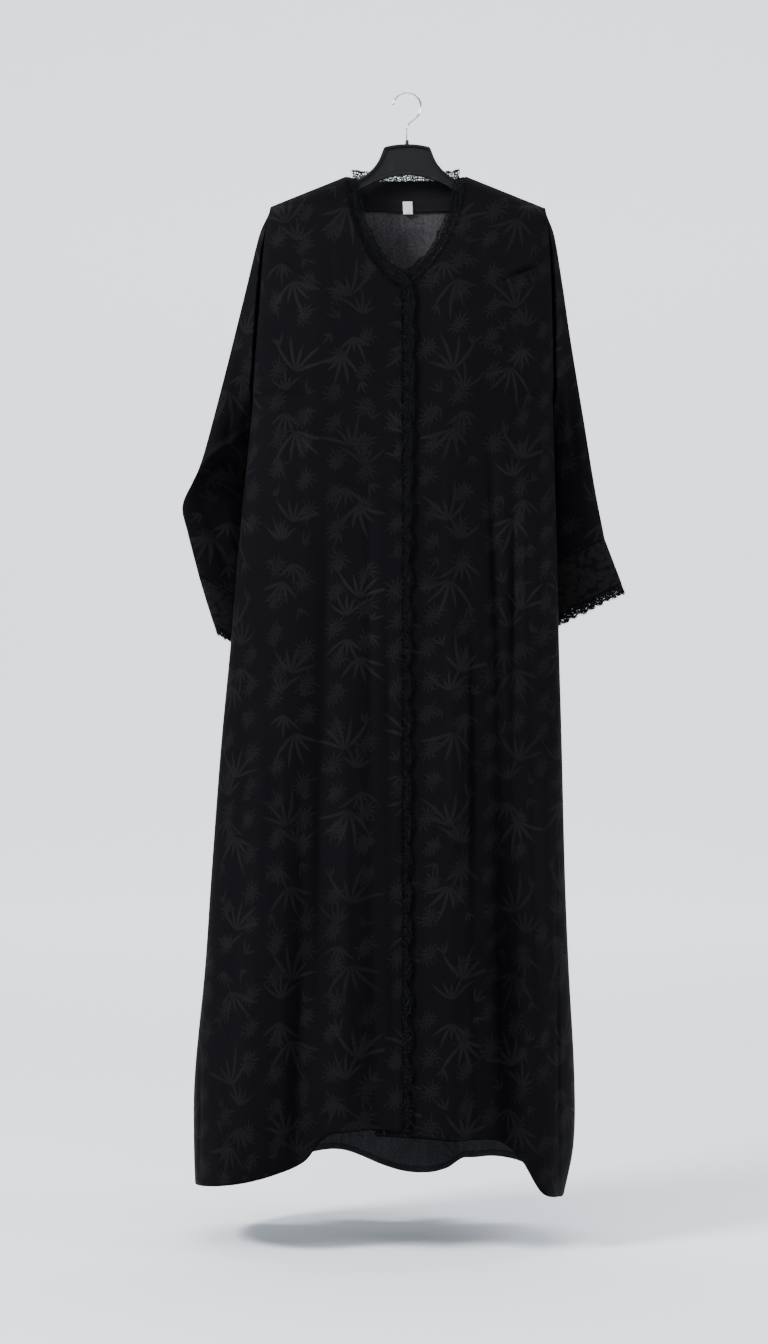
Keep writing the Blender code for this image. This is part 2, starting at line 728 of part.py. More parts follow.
def hanger_outline():
    """Half of the hanger's outline, from the top's centre round the arm to the arch's centre."""
    points = [(0.0, HANGER_TOP_Z)]
    points += [(row.x, row.z) for row in HANGER_PLATE_SIDE]
    points.append((ARM_SEAT_X, shoulder_line(ARM_SEAT_X) - HANGER_ARM_DROP))
    tip_top = shoulder_line(HANGER_TIP_X) - HANGER_ARM_DROP
    points += [(HANGER_TIP_X + row.x, tip_top + row.z) for row in HANGER_ARM_TIP]
    points.append((HANGER_ARM_UNDERSIDE.x, HANGER_ARM_UNDERSIDE.z))
    arch_x, arch_z = ARCH_END
    for step in range(ARCH_STEPS):
        share = 1.0 - step / ARCH_STEPS
        points.append((arch_x * share, ARCH_TOP_Z + (arch_z - ARCH_TOP_Z) * share**ARCH_POWER))
    points.append((0.0, ARCH_TOP_Z))
    return points


def welded_mesh(obj, name):
    """The closed mesh of a curve object; the curve is removed."""
    bpy.context.view_layer.update()
    evaluated = obj.evaluated_get(bpy.context.evaluated_depsgraph_get())
    mesh = bpy.data.meshes.new_from_object(evaluated)
    mesh.transform(obj.matrix_world)
    bm = bmesh.new()
    bm.from_mesh(mesh)
    bmesh.ops.remove_doubles(bm, verts=bm.verts, dist=1e-5)
    bm.to_mesh(mesh)
    bm.free()
    mesh.name = name
    bpy.data.objects.remove(obj)
    return mesh


def add_cutter(name, mesh, cutters):
    """A guide body for a Boolean, left out of the model."""
    cutter = bpy.data.objects.new(name, mesh)
    cutter.hide_render = True
    cutter.display_type = "WIRE"
    cutters.objects.link(cutter)
    return cutter


def boolean(obj, operation, other):
    """Adds an exact Boolean."""
    cut = obj.modifiers.new(operation.lower(), "BOOLEAN")
    cut.operation = operation
    cut.object = other


def add_hanger(plastic, place, cutters):
    """The hanger's plate and arms in one outline, with a socket for the hook."""
    half = hanger_outline()
    outline = half + [(-x, z) for x, z in reversed(half[1:-1])]
    curve = bpy.data.curves.new("hanger_outline", "CURVE")
    curve.dimensions = "2D"
    curve.fill_mode = "BOTH"
    curve.extrude = HANGER_THICKNESS / 2
    spline = curve.splines.new("POLY")
    spline.points.add(len(outline) - 1)
    for point, (x, z) in zip(spline.points, outline):
        point.co = (x, z, 0.0, 1.0)
    spline.use_cyclic_u = True
    drawn = bpy.data.objects.new("hanger_outline", curve)
    drawn.rotation_euler = (math.pi / 2, 0.0, 0.0)
    place[1].objects.link(drawn)
    body = add_object("hanger_body", welded_mesh(drawn, "hanger_body"), plastic, *place)
    rounded = body.modifiers.new("edges", "BEVEL")
    rounded.width = HANGER_EDGE_ROUND
    rounded.segments = HANGER_EDGE_SEGMENTS
    rounded.limit_method = "ANGLE"
    rounded.angle_limit = HANGER_EDGE_ANGLE
    bm = bmesh.new()
    bmesh.ops.create_cone(
        bm,
        cap_ends=True,
        segments=ROUND_SEGMENTS,
        radius1=SOCKET_RADIUS,
        radius2=SOCKET_RADIUS,
        depth=2 * SOCKET_DEPTH,
    )
    socket = bpy.data.meshes.new("hook_socket")
    bm.to_mesh(socket)
    bm.free()
    cutter = add_cutter("hook_socket", socket, cutters)
    cutter.location = (0.0, 0.0, HANGER_TOP_Z)
    boolean(body, "DIFFERENCE", cutter)


def hook_route():
    """The wire's centre line from its ball end over the crown and down the shaft."""
    centre_z = HOOK_WIRE_RADIUS - HOOK_CROWN_RADIUS
    points = []
    for step in range(HOOK_TURN_STEPS + 1):
        turn = HOOK_END_TURN + (HOOK_LEAVE_TURN - HOOK_END_TURN) * step / HOOK_TURN_STEPS
        points.append((HOOK_CROWN_RADIUS * math.cos(turn), centre_z + HOOK_CROWN_RADIUS * math.sin(turn)))
    start_x, start_z = points[-1]
    drop = start_z - HOOK_SHAFT_TOP_Z
    for step in range(1, HOOK_LEAVE_STEPS + 1):
        t = step / HOOK_LEAVE_STEPS
        bend = (1.0 - t) ** 2
        x = start_x * bend * (1.0 + 2.0 * t) - drop * HOOK_LEAVE_SLOPE * t * bend
        points.append((x, start_z - drop * t))
    points.append((0.0, HANGER_TOP_Z - SOCKET_DEPTH + SEAM_GAP))
    return points


def add_hook(chrome, place, cutters):
    """The wire hook, with a ball fused to its free end."""
    route = hook_route()
    curve = bpy.data.curves.new("hook_wire", "CURVE")
    curve.dimensions = "3D"
    curve.bevel_depth = HOOK_WIRE_RADIUS
    curve.bevel_resolution = WIRE_RESOLUTION
    curve.use_fill_caps = True
    spline = curve.splines.new("POLY")
    spline.points.add(len(route) - 1)
    for point, (x, z) in zip(spline.points, route):
        point.co = (x, 0.0, z, 1.0)
    drawn = bpy.data.objects.new("hook_wire", curve)
    place[1].objects.link(drawn)
    hook = add_object("hanger_hook", welded_mesh(drawn, "hanger_hook"), chrome, *place)
    bm = bmesh.new()
    bmesh.ops.create_uvsphere(bm, u_segments=BALL_GRID[0], v_segments=BALL_GRID[1], radius=HOOK_END_BALL)
    ball = bpy.data.meshes.new("hook_ball")
    bm.to_mesh(ball)
    bm.free()
    cutter = add_cutter("hook_ball", ball, cutters)
    cutter.location = (route[0][0], 0.0, route[0][1])
    boolean(hook, "UNION", cutter)


def add_collar(plastic, place):
    """The collar round the hook's foot."""
    bm = bmesh.new()
    bmesh.ops.create_cone(
        bm,
        cap_ends=False,
        segments=ROUND_SEGMENTS,
        radius1=COLLAR_RADIUS,
        radius2=COLLAR_RADIUS,
        depth=COLLAR_HEIGHT,
    )
    mesh = bpy.data.meshes.new("hook_collar")
    bm.to_mesh(mesh)
    bm.free()
    collar = add_object("hook_collar", mesh, plastic, *place)
    collar.location = (0.0, 0.0, HANGER_TOP_Z + SEAM_GAP + COLLAR_HEIGHT / 2)
    wall = collar.modifiers.new("wall", "SOLIDIFY")
    wall.thickness = COLLAR_WALL
    wall.offset = 0.0


def build():
    for old in list(bpy.data.objects):
        bpy.data.objects.remove(old)
    parts = bpy.data.collections.new("abaya_cloak_on_hanger")
    bpy.context.scene.collection.children.link(parts)
    root = bpy.data.objects.new("hook_point", None)
    parts.objects.link(root)
    cutters = bpy.data.collections.new("cutters")
    bpy.context.scene.collection.children.link(cutters)
    place = (root, parts)
    cloth = material("black_jacquard", (0.012, 0.011, 0.013), 0.62)
    lace = material("black_lace", (0.010, 0.010, 0.011), 0.75)
    plastic = material("black_plastic", (0.015, 0.016, 0.018), 0.32)
    add_body(cloth, place)
    for side, sleeve, cuff in (("right", RIGHT_SLEEVE, RIGHT_CUFF), ("left", LEFT_SLEEVE, LEFT_CUFF)):
        add_sleeve(side, sleeve, cuff, cloth, place)
        add_cuff_lace(side, cuff, lace, place)
    add_front_lace(lace, place)
    add_back_neck_lace(lace, place)
    add_neck_facing(material("black_facing", (0.012, 0.011, 0.012), 0.7), place)
    add_label(material("white_label", (0.80, 0.80, 0.80), 0.6), place)
    add_hanger(plastic, place, cutters)
    add_hook(material("chromed_wire", (0.75, 0.75, 0.76), 0.15, 1.0), place, cutters)
    add_collar(plastic, place)


build()
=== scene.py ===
"""Looks of the open abaya cloak in bamboo-leaf jacquard with lace edges, on its hanger.

Metres, +Z up, the front faces -Y. "Right" and "left" are the wearer's: the right front is on the -X side.
"""

import math
import random
from collections import namedtuple
from itertools import accumulate, pairwise

import bmesh
import bpy
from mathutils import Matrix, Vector, noise


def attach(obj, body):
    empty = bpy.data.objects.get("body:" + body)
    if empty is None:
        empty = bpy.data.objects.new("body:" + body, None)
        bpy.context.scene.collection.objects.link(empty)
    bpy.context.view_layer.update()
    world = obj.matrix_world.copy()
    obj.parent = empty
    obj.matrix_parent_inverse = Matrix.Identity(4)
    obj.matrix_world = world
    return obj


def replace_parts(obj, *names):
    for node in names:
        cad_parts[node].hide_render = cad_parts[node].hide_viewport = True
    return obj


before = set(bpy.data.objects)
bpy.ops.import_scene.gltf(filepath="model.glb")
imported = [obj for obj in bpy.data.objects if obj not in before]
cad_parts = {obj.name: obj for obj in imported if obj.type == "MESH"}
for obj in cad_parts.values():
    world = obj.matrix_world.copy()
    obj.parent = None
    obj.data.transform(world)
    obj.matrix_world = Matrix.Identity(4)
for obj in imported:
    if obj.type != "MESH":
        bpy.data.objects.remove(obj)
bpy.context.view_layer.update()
TURN = 2.0 * math.pi


def table(kind, *rows):
    return [kind(*row) for row in rows]


# Cloth and seams
CLOTH = 0.0010
LACE = 0.0006
CUFF_CLOTH = 1.3 * CLOTH
SEAM_GAP = 0.0003
SEAM_HALF = 0.00045
SEAM_TOUCH = 0.0004

# The cloak's own sizes, as its solids have them
CENTRE_X = -0.0015
OVERLAP_EDGE_X = -0.0075
UNDER_EDGE_X = -0.032
UNDER_STEP = 0.0045
UNDER_FADE = (0.022, 0.075)
UNDER_START = (0.16, 0.24)
CORNER_POWER = 0.8
SHOULDER_NECK = (0.0845, -0.1200)
SHOULDER_TIP_Z = -0.1655
SHOULDER_SLOPE = 0.400
SHOULDER_ROLL = 0.020
UNDERARM_Z = -0.440
ARMHOLE_HALF_WIDTH = 0.020
NECK_BOTTOM_Z = -0.283
NECK_ALONG_POWER = 1.4
NECK_DOWN_POWER = 0.526
BACK_NECK_Z = -0.1238
BACK_NECK_POWER = 3
HEM_WIDTH_Z = -1.56
FOLD_FULL_Z = -1.50
FOLD_START_WIDTH = 0.55
FOLD_EDGE_FADE = 1.6
SLEEVE_CLEARANCE = 0.0055
SLEEVE_MIN_DEPTH = 0.012
SLEEVE_RELEASE = 1.7
ARMHOLE_HOLLOW = -0.0065
ARMHOLE_HOLLOW_END = (0.395, 0.440)
UNDERARM_RELEASE = 1.5
UNDERARM_MARGIN = 0.010
UNDERARM_TUCK = 0.0035
TUCK_ACROSS = (0.72, 0.98)
TUCK_DOWN = (0.428, 0.444)
NECK_COLUMNS = 7
SIDE_COLUMNS = 12
BACK_NECK_SHARE = 0.36
NECK_COLUMN_POWER = 1.4
SIDE_COLUMN_POWER = 2
ROW_POWER = 1.5
UNEVEN_BROAD = 0.0021
UNEVEN_FINE = 0.0007
FRONT_GRID = (96, 270)
BACK_GRID = (130, 250)
SLEEVE_GRID = (100, 140)
CUFF_GRID = (96, 20)

# Lace
LACE_SEAM = 0.0011
CUFF_LACE_SEAM = 0.00095
CUFF_LACE_STRIP = 0.0150
CUFF_LASH = 0.00975
CUFF_LASH_RADIUS = 0.00027
FRONT_LASH_RADIUS = 0.00022
NECK_LASH_RADIUS = 0.0002
NECK_LACE = 0.013
FRONT_LACE = 0.019
SCALLOP_PITCH = 0.050
SCALLOP_DEPTH = 0.0045
SCALLOPS_DEEPEN = (0.45, 0.75)
BACK_LACE_HEIGHT = 0.0125
BACK_LACE_HALF = 0.079

# Facing and label
FACING_STEP = 0.0024
FACING_TOP_GAP = 0.0015
FACING_BOTTOM_Z = -0.169
FACING_HALF_WIDTH = 0.076
LABEL_SIZE = (0.0142, 0.0185)
LABEL_TOP = (-0.0062, -0.1540)
LABEL_SKEW = 0.05
LABEL_STEP = 0.0016
LABEL_THICKNESS = 0.0004

# Hanger and hook
HOOK_WIRE_RADIUS = 0.0013
HOOK_CROWN_RADIUS = 0.0205
HOOK_END_BALL = 0.0021
HOOK_END_TURN = math.radians(168.0)
HOOK_LEAVE_TURN = math.radians(-38.0)
HOOK_LEAVE_SLOPE = 0.84
HOOK_SHAFT_TOP_Z = -0.0495
COLLAR_RADIUS = 0.0025
COLLAR_HEIGHT = 0.0068
SOCKET_DEPTH = 0.006
HANGER_HALF = 0.0050
HANGER_RIM = 0.0030
HANGER_RECESS = 0.0026
HANGER_TIP_X = 0.1870
HANGER_ARM_TIP_HEIGHT = 0.011
HANGER_TOP_Z = -0.0742
HANGER_ARM_DROP = 0.0039
ARM_SEAT_X = 0.112
ARM_BEND_X = 0.098
HANGER_ARM_UNDER = [(0.130, -0.1605), (ARM_BEND_X, -0.1512)]
ARCH_TOP_Z = -0.1179
ARCH_END = (0.0684, -0.1406)
ARCH_POWER = 1.9
# The arm's tip: how far in from its end, and up from its top
HANGER_TIP_ROUND = (
    (0.006, 0.0024), (0.002, 0.0), (0.0, -0.0038), (0.0012, -0.008), (0.005, -HANGER_ARM_TIP_HEIGHT),
)
HangerPoint = namedtuple("HangerPoint", "x z")
HANGER_PLATE_SIDE = table(
    HangerPoint,
    (0.008, -0.0744), (0.017, -0.0752), (0.027, -0.0769), (0.0325, -0.0784), (0.0338, -0.08), (0.036, -0.0855),
    (0.0385, -0.092), (0.0415, -0.0985), (0.0455, -0.1048), (0.0505, -0.1106), (0.0578, -0.1172),
    (0.0662, -0.1232), (0.0755, -0.128), (0.086, -0.1315),
)

Section = namedtuple("Section", "z right left front back")
SECTIONS = table(
    Section,
    (-0.11, -0.197, 0.198, 0.018, 0.017), (-0.165, -0.198, 0.2, 0.021, 0.02),
    (-0.23, -0.207, 0.2055, 0.034, 0.027), (-0.32, -0.2136, 0.209, 0.044, 0.032),
    (-0.477, -0.2264, 0.212, 0.052, 0.035), (-0.637, -0.2421, 0.2165, 0.06, 0.041),
    (-0.797, -0.2556, 0.2203, 0.069, 0.052), (-0.95, -0.27, 0.2245, 0.08, 0.068),
    (-1.138, -0.284, 0.229, 0.095, 0.09), (-1.27, -0.293, 0.2343, 0.107, 0.106),
    (-1.429, -0.308, 0.2425, 0.121, 0.122), (-1.525, -0.309, 0.241, 0.128, 0.132),
    (-1.6, -0.3065, 0.226, 0.131, 0.137),
)

HemPoint = namedtuple("HemPoint", "x z")
FRONT_RIGHT_HEM = table(
    HemPoint,
    (-0.307, -1.58), (-0.255, -1.568), (-0.181, -1.548), (-0.145, -1.532), (-0.121, -1.5), (-0.1, -1.487),
    (0.0, -1.489),
)
FRONT_LEFT_HEM = table(
    HemPoint,
    (-0.04, -1.496), (0.063, -1.498), (0.118, -1.504), (0.153, -1.527), (0.192, -1.577), (0.229, -1.594),
)
BACK_HEM = table(
    HemPoint,
    (-0.307, -1.58), (-0.22, -1.574), (-0.115, -1.561), (-0.034, -1.584), (0.034, -1.598), (0.063, -1.592),
    (0.09, -1.569), (0.163, -1.573), (0.229, -1.594),
)

# Folds run down the cloth: where they lie at the hem and at the start, how wide, how deep at the hem
Fold = namedtuple("Fold", "hem_x top_x start_z width depth")
FRONT_FOLDS = table(
    Fold,
    (-0.236, -0.15, -0.55, 0.042, 0.012), (-0.15, -0.105, -0.5, 0.03, -0.016),
    (-0.095, -0.075, -0.6, 0.024, 0.012), (-0.04, -0.05, -0.75, 0.026, -0.01), (0.058, 0.06, -0.35, 0.034, 0.015),
    (0.136, 0.118, -0.3, 0.03, -0.028), (0.196, 0.165, -0.45, 0.024, 0.01),
)
BACK_FOLDS = table(
    Fold,
    (-0.235, -0.16, -0.5, 0.04, 0.012), (-0.165, -0.11, -0.42, 0.034, -0.018),
    (-0.085, -0.055, -0.3, 0.036, 0.016), (-0.01, -0.01, -0.26, 0.03, -0.014), (0.05, 0.04, -0.34, 0.026, 0.016),
    (0.1, 0.085, -0.38, 0.024, -0.022), (0.165, 0.14, -0.5, 0.03, 0.012),
)

# Along a crease, where it fades in and out
CREASE_FADE_IN = (-0.1, 0.25)
CREASE_FADE_OUT = (0.75, 1.1)
# Creases run along a line: where it starts and ends, how wide, and how far it stands out or sinks in
Crease = namedtuple("Crease", "x0 z0 x1 z1 width rise")
FRONT_CREASES = table(
    Crease,
    (0.131, -0.279, 0.193, -0.252, 0.0027, -0.0052), (0.13, -0.273, 0.194, -0.245, 0.004, 0.0022),
    (-0.176, -0.252, -0.14, -0.2765, 0.0042, -0.0016), (-0.18, -0.26, -0.146, -0.285, 0.005, 0.001),
    (0.06, -0.55, 0.068, -1.56, 0.009, 0.006), (0.084, -0.62, 0.09, -1.56, 0.01, -0.011),
    (0.119, -0.42, 0.138, -1.55, 0.012, -0.01), (0.148, -0.55, 0.159, -1.56, 0.009, -0.011),
    (-0.2968, -1.25, -0.2985, -1.6, 0.0026, -0.005), (0.212, -1.13, 0.2165, -1.62, 0.0028, -0.005),
    (0.17, -0.5, 0.182, -1.56, 0.008, 0.006), (0.186, -0.7, 0.205, -1.58, 0.0075, -0.003),
    (-0.173, -0.86, -0.177, -1.56, 0.0065, 0.0026), (-0.118, -0.62, -0.121, -1.54, 0.0085, -0.006),
    (-0.152, -0.95, -0.156, -1.55, 0.0075, -0.0042), (-0.088, -0.9, -0.086, -1.5, 0.006, 0.0024),
    (-0.06, -0.5, -0.048, -1.5, 0.009, -0.0056), (-0.026, -0.7, -0.022, -1.49, 0.0075, -0.0044),
    (-0.232, -0.95, -0.262, -1.57, 0.009, -0.003), (-0.205, -0.75, -0.226, -1.5, 0.01, 0.0022),
    (-0.196, -0.33, -0.12, -0.5, 0.012, -0.0026), (-0.205, -0.4, -0.15, -0.66, 0.011, 0.002),
    (0.196, -0.34, 0.146, -0.52, 0.011, -0.0026), (0.203, -0.42, 0.172, -0.64, 0.009, 0.002),
    (-0.12, -0.19, -0.092, -0.33, 0.01, -0.0016), (0.112, -0.19, 0.09, -0.33, 0.01, -0.0014),
    (0.03, -0.46, 0.038, -0.9, 0.009, 0.0014), (-0.14, -0.44, -0.146, -0.8, 0.009, 0.0014),
)
BACK_CREASES = table(
    Crease,
    (0.126, -0.265, 0.188, -0.235, 0.0046, -0.0022), (-0.186, -0.24, -0.13, -0.272, 0.0046, -0.0022),
    (-0.03, -0.15, -0.042, -0.4, 0.005, -0.0026), (-0.046, -0.16, -0.056, -0.36, 0.0045, 0.0018),
    (0.024, -0.17, 0.03, -0.44, 0.0055, 0.0018), (0.196, -0.34, 0.13, -0.5, 0.012, -0.0028),
    (-0.2, -0.35, -0.124, -0.52, 0.012, -0.0028), (-0.126, -0.52, -0.166, -1.55, 0.0085, -0.004),
    (-0.074, -0.6, -0.09, -1.54, 0.0065, 0.003), (-0.012, -0.44, -0.012, -1.56, 0.008, -0.0036),
    (0.046, -0.66, 0.052, -1.57, 0.006, 0.003), (0.09, -0.58, 0.102, -1.56, 0.008, -0.0042),
    (0.15, -0.8, 0.166, -1.56, 0.007, 0.0028), (-0.2, -0.8, -0.236, -1.55, 0.008, 0.0026),
    (0.186, -0.66, 0.202, -1.57, 0.008, -0.003),
)
SLEEVE_RIGHT_CREASES = table(
    Crease,
    (-0.308, -0.56, -0.232, -0.504, 0.005, -0.006), (-0.308, -0.547, -0.232, -0.491, 0.006, 0.004),
    (-0.232, -0.24, -0.252, -0.43, 0.0085, -0.0024), (-0.222, -0.33, -0.238, -0.47, 0.007, 0.002),
    (-0.262, -0.42, -0.288, -0.53, 0.0075, 0.002), (-0.244, -0.45, -0.272, -0.54, 0.007, -0.0022),
    (-0.3, -0.58, -0.262, -0.7, 0.008, -0.0024), (-0.272, -0.56, -0.24, -0.72, 0.009, 0.0022),
    (-0.24, -0.6, -0.214, -0.74, 0.007, -0.0018),
)
SLEEVE_LEFT_CREASES = table(
    Crease,
    (0.216, -0.22, 0.23, -0.42, 0.008, -0.0024), (0.212, -0.36, 0.24, -0.53, 0.007, 0.002),
    (0.232, -0.44, 0.262, -0.6, 0.0075, -0.0022), (0.214, -0.48, 0.232, -0.64, 0.008, 0.002),
    (0.25, -0.54, 0.276, -0.64, 0.006, 0.0016), (0.19, -0.56, 0.204, -0.68, 0.007, -0.002),
)

# A sleeve's sections: its outer and inner edges, half its depth, and how its front wall is moved
Ring = namedtuple("Ring", "outer inner half front_out front_lift", defaults=(0.0, 0.0))
RIGHT_SLEEVE = table(
    Ring,
    ((-0.1988, 0.0, -0.1665), (-0.2257, 0.0, -0.44), 0.021),
    ((-0.215, 0.001, -0.208), (-0.2275, 0.001, -0.442), 0.0195),
    ((-0.2372, 0.006, -0.2968), (-0.2285, 0.006, -0.448), 0.0175),
    ((-0.2648, 0.009, -0.4067), (-0.2225, 0.02, -0.476), 0.0165, 0.001, 0.0),
    ((-0.2925, 0.008, -0.5122), (-0.215, 0.04, -0.515), 0.0165, 0.006, 0.018),
    ((-0.304, 0.006, -0.548), (-0.208, 0.05, -0.54), 0.0165, 0.012, 0.032),
    ((-0.313, 0.01, -0.566), (-0.204, 0.056, -0.56), 0.0155, 0.0, 0.03),
    ((-0.3274, 0.014, -0.5995), (-0.199, 0.062, -0.602), 0.015, -0.003, 0.012),
    ((-0.3201, 0.018, -0.6373), (-0.194, 0.067, -0.665), 0.016),
    ((-0.304, 0.02, -0.7), (-0.181, 0.072, -0.772), 0.0175),
)
RIGHT_CUFF = RIGHT_SLEEVE[-1:] + table(
    Ring,
    ((-0.2935, 0.021, -0.735), (-0.1735, 0.073, -0.808), 0.0185),
    ((-0.2825, 0.022, -0.77), (-0.166, 0.074, -0.845), 0.019),
)
LEFT_SLEEVE = table(
    Ring,
    ((0.201, 0.0, -0.1665), (0.2133, 0.0, -0.44), 0.021),
    ((0.214, 0.001, -0.208), (0.2165, 0.001, -0.442), 0.0195),
    ((0.2264, 0.004, -0.2808), (0.2175, 0.005, -0.449), 0.0175),
    ((0.2363, 0.008, -0.3463), (0.213, 0.016, -0.478), 0.0165),
    ((0.2488, 0.011, -0.422), (0.2055, 0.034, -0.527), 0.016),
    ((0.259, 0.014, -0.4816), (0.19, 0.05, -0.578), 0.016),
    ((0.274, 0.017, -0.572), (0.17, 0.06, -0.648), 0.0165),
    ((0.289, 0.02, -0.6475), (0.15, 0.068, -0.712), 0.0175),
)
LEFT_CUFF = LEFT_SLEEVE[-1:] + table(
    Ring,
    ((0.302, 0.021, -0.681), (0.1615, 0.07, -0.748), 0.0185),
    ((0.3135, 0.022, -0.711), (0.173, 0.072, -0.783), 0.019),
)

# What each panel takes from the tables, with a seed for its own unevenness
BODY_RELIEF = {"front": (FRONT_FOLDS, FRONT_CREASES, 1.0), "back": (BACK_FOLDS, BACK_CREASES, 7.0)}
FRONT_EDGES = {"right": (OVERLAP_EDGE_X, FRONT_RIGHT_HEM), "left": (UNDER_EDGE_X, FRONT_LEFT_HEM)}

# The cloth's finish: its leaf fans hang from a point of their cell, turned, a number of leaves to each side
HEM_STITCH = 0.0095
HEM_TURNED = 0.0097
SPRAY_CELL = (0.0975, 0.1085)
NEST_CELL = (0.046, 0.048)
NEST_START = 0.020
Fan = namedtuple("Fan", "x y turn leaves step length width seed curl", defaults=(4.0,))
SPRAY_FANS = table(
    Fan,
    (0.008, -0.012, -0.10, 2.0, 0.50, 0.062, 0.0033, 0.0),
    (-0.008, -0.038, 0.30, 2.0, 0.47, 0.044, 0.0028, 11.0, 7.0),
    (0.024, -0.044, -0.55, 1.0, 0.62, 0.024, 0.0022, 23.0),
    (-0.020, 0.026, 0.45, 1.0, 0.58, 0.024, 0.0022, 37.0),
)
Look = namedtuple("Look", "thickness slot faces")

# The studio
FLOOR_Z = -1.665
BACKDROP_Y = 9.0
BACKDROP_ROUND = 3.0
STUDIO_HALF = 9.0
# Painted light: from here back, over this run, the floor and backdrop glow more, standing in for lamplight on the
# paper.
PAINTED_GLOW_START_Y = 0.6
PAINTED_GLOW_RUN = 4.4
PAPER_TONE = (0.80, 0.85, 0.90)
PAPER_PAINTED_GLOW = (1.02, 1.06, 1.12)
AIR_TONE = (0.88, 0.93, 1.0, 1.0)
AIR_STRENGTH = 0.36
CAMERA_PLACE = (-0.0335, -3.6, -0.841)
CAMERA_LENS = 66.3
Lamp = namedtuple("Lamp", "name place aim size power")
LAMPS = table(
    Lamp,
    ("key_lamp", (-2.6, -1.5, 1.5), (0.1, 0.1, -0.7), (0.9, 0.9), 255.0),
    ("top_lamp", (-0.3, -1.8, 2.0), (0.0, 0.1, -0.5), (2.4, 1.6), 48.0),
    ("side_lamp", (2.4, -0.7, 0.0), (0.2, 0.0, -0.5), (1.0, 1.6), 62.0),
    ("backdrop_lamp", (0.3, 0.9, 2.5), (0.3, 3.4, -1.6), (4.0, 0.8), 150.0),
)


def clamp(value, low=0.0, high=1.0):
    return max(low, min(high, value))


def soft_step(value, start, end):
    t = clamp((value - start) / (end - start))
    return t * t * (3.0 - 2.0 * t)


def curve_through(xs, ys, at):
    """Smooth value at a place along points whose xs rise; level beyond both ends."""
    if at <= xs[0]:
        return ys[0]
    if at >= xs[-1]:
        return ys[-1]
    k = max(i for i in range(len(xs) - 1) if xs[i] <= at)
    span = xs[k + 1] - xs[k]
    t = (at - xs[k]) / span

    def slope(i):
        low, high = max(i - 1, 0), min(i + 1, len(xs) - 1)
        return (ys[high] - ys[low]) / (xs[high] - xs[low])

    a, b = 2 * t**3 - 3 * t**2 + 1, t**3 - 2 * t**2 + t
    c, d = -2 * t**3 + 3 * t**2, t**3 - t**2
    return a * ys[k] + b * slope(k) * span + c * ys[k + 1] + d * slope(k + 1) * span


SECTION_DEPTHS = [-row.z for row in SECTIONS]
SECTION_COLUMNS = {name: [getattr(row, name) for row in SECTIONS] for name in Section._fields[1:]}


def section_value(column, z):
    return curve_through(SECTION_DEPTHS, SECTION_COLUMNS[column], -z)


def hem_height(rows, x):
    return curve_through([row.x for row in rows], [row.z for row in rows], x)


def shoulder_line(x):
    neck_x, neck_z = SHOULDER_NECK
    return neck_z - SHOULDER_SLOPE * (abs(x - CENTRE_X) - neck_x)


def half_width(side, z):
    return section_value(side, z) - CENTRE_X


def edge_at(x, z):
    """The half width on the side where x lies."""
    return half_width("left" if x > CENTRE_X else "right", z)


def bow_at(reach):
    """How full the body is, from 1 in the middle to 0 at its side."""
    return (1.0 - reach ** (2.0 / CORNER_POWER)) ** (CORNER_POWER / 2.0)


def armhole_half(z):
    """Half the armhole's opening from front to back."""
    down = clamp((SHOULDER_TIP_Z - z) / (SHOULDER_TIP_Z - UNDERARM_Z))
    round_edge = math.sqrt(max(0.0, 1.0 - (1.0 - 2.0 * down) ** 2))
    return max(ARMHOLE_HALF_WIDTH * round_edge**CORNER_POWER, SEAM_HALF)


def fold_relief(folds, x, z):
    """How far the large folds push the cloth out at a place."""
    relief = 0.0
    for fold in folds:
        grown = soft_step(-z, -fold.start_z, -FOLD_FULL_Z)
        down = clamp((z - fold.start_z) / (FOLD_FULL_Z - fold.start_z))
        middle = fold.top_x + (fold.hem_x - fold.top_x) * down
        width = fold.width * (FOLD_START_WIDTH + (1.0 - FOLD_START_WIDTH) * grown)
        relief += fold.depth * grown * math.exp(-(((x - middle) / width) ** 2))
    return relief


def crease_relief(creases, x, z):
    """How far the creases move the cloth at a place; each fades out towards both ends."""
    relief = 0.0
    start, end = CREASE_FADE_IN[0], CREASE_FADE_OUT[1]
    for crease in creases:
        run_x, run_z = crease.x1 - crease.x0, crease.z1 - crease.z0
        length = math.hypot(run_x, run_z)
        along = ((x - crease.x0) * run_x + (z - crease.z0) * run_z) / length**2
        if start < along < end:
            off = ((x - crease.x0) * run_z - (z - crease.z0) * run_x) / length
            off += 0.35 * crease.width * math.sin(5.0 * along + 90.0 * crease.x0)
            if abs(off) < 3.0 * crease.width:
                ends = soft_step(along, *CREASE_FADE_IN) * (1.0 - soft_step(along, *CREASE_FADE_OUT))
                uneven = 0.75 + 0.25 * math.sin(11.0 * along + 40.0 * crease.x1)
                relief += crease.rise * ends * uneven * math.exp(-((off / crease.width) ** 2))
    return relief


def soft_unevenness(x, z, seed):
    """The cloth's small uneven waves, longer down the grain than across it."""
    broad = noise.noise(Vector((x * 11.0, z * 2.6, seed)))
    fine = noise.noise(Vector((x * 34.0, z * 9.0, seed + 5.0)))
    return UNEVEN_BROAD * broad + UNEVEN_FINE * fine


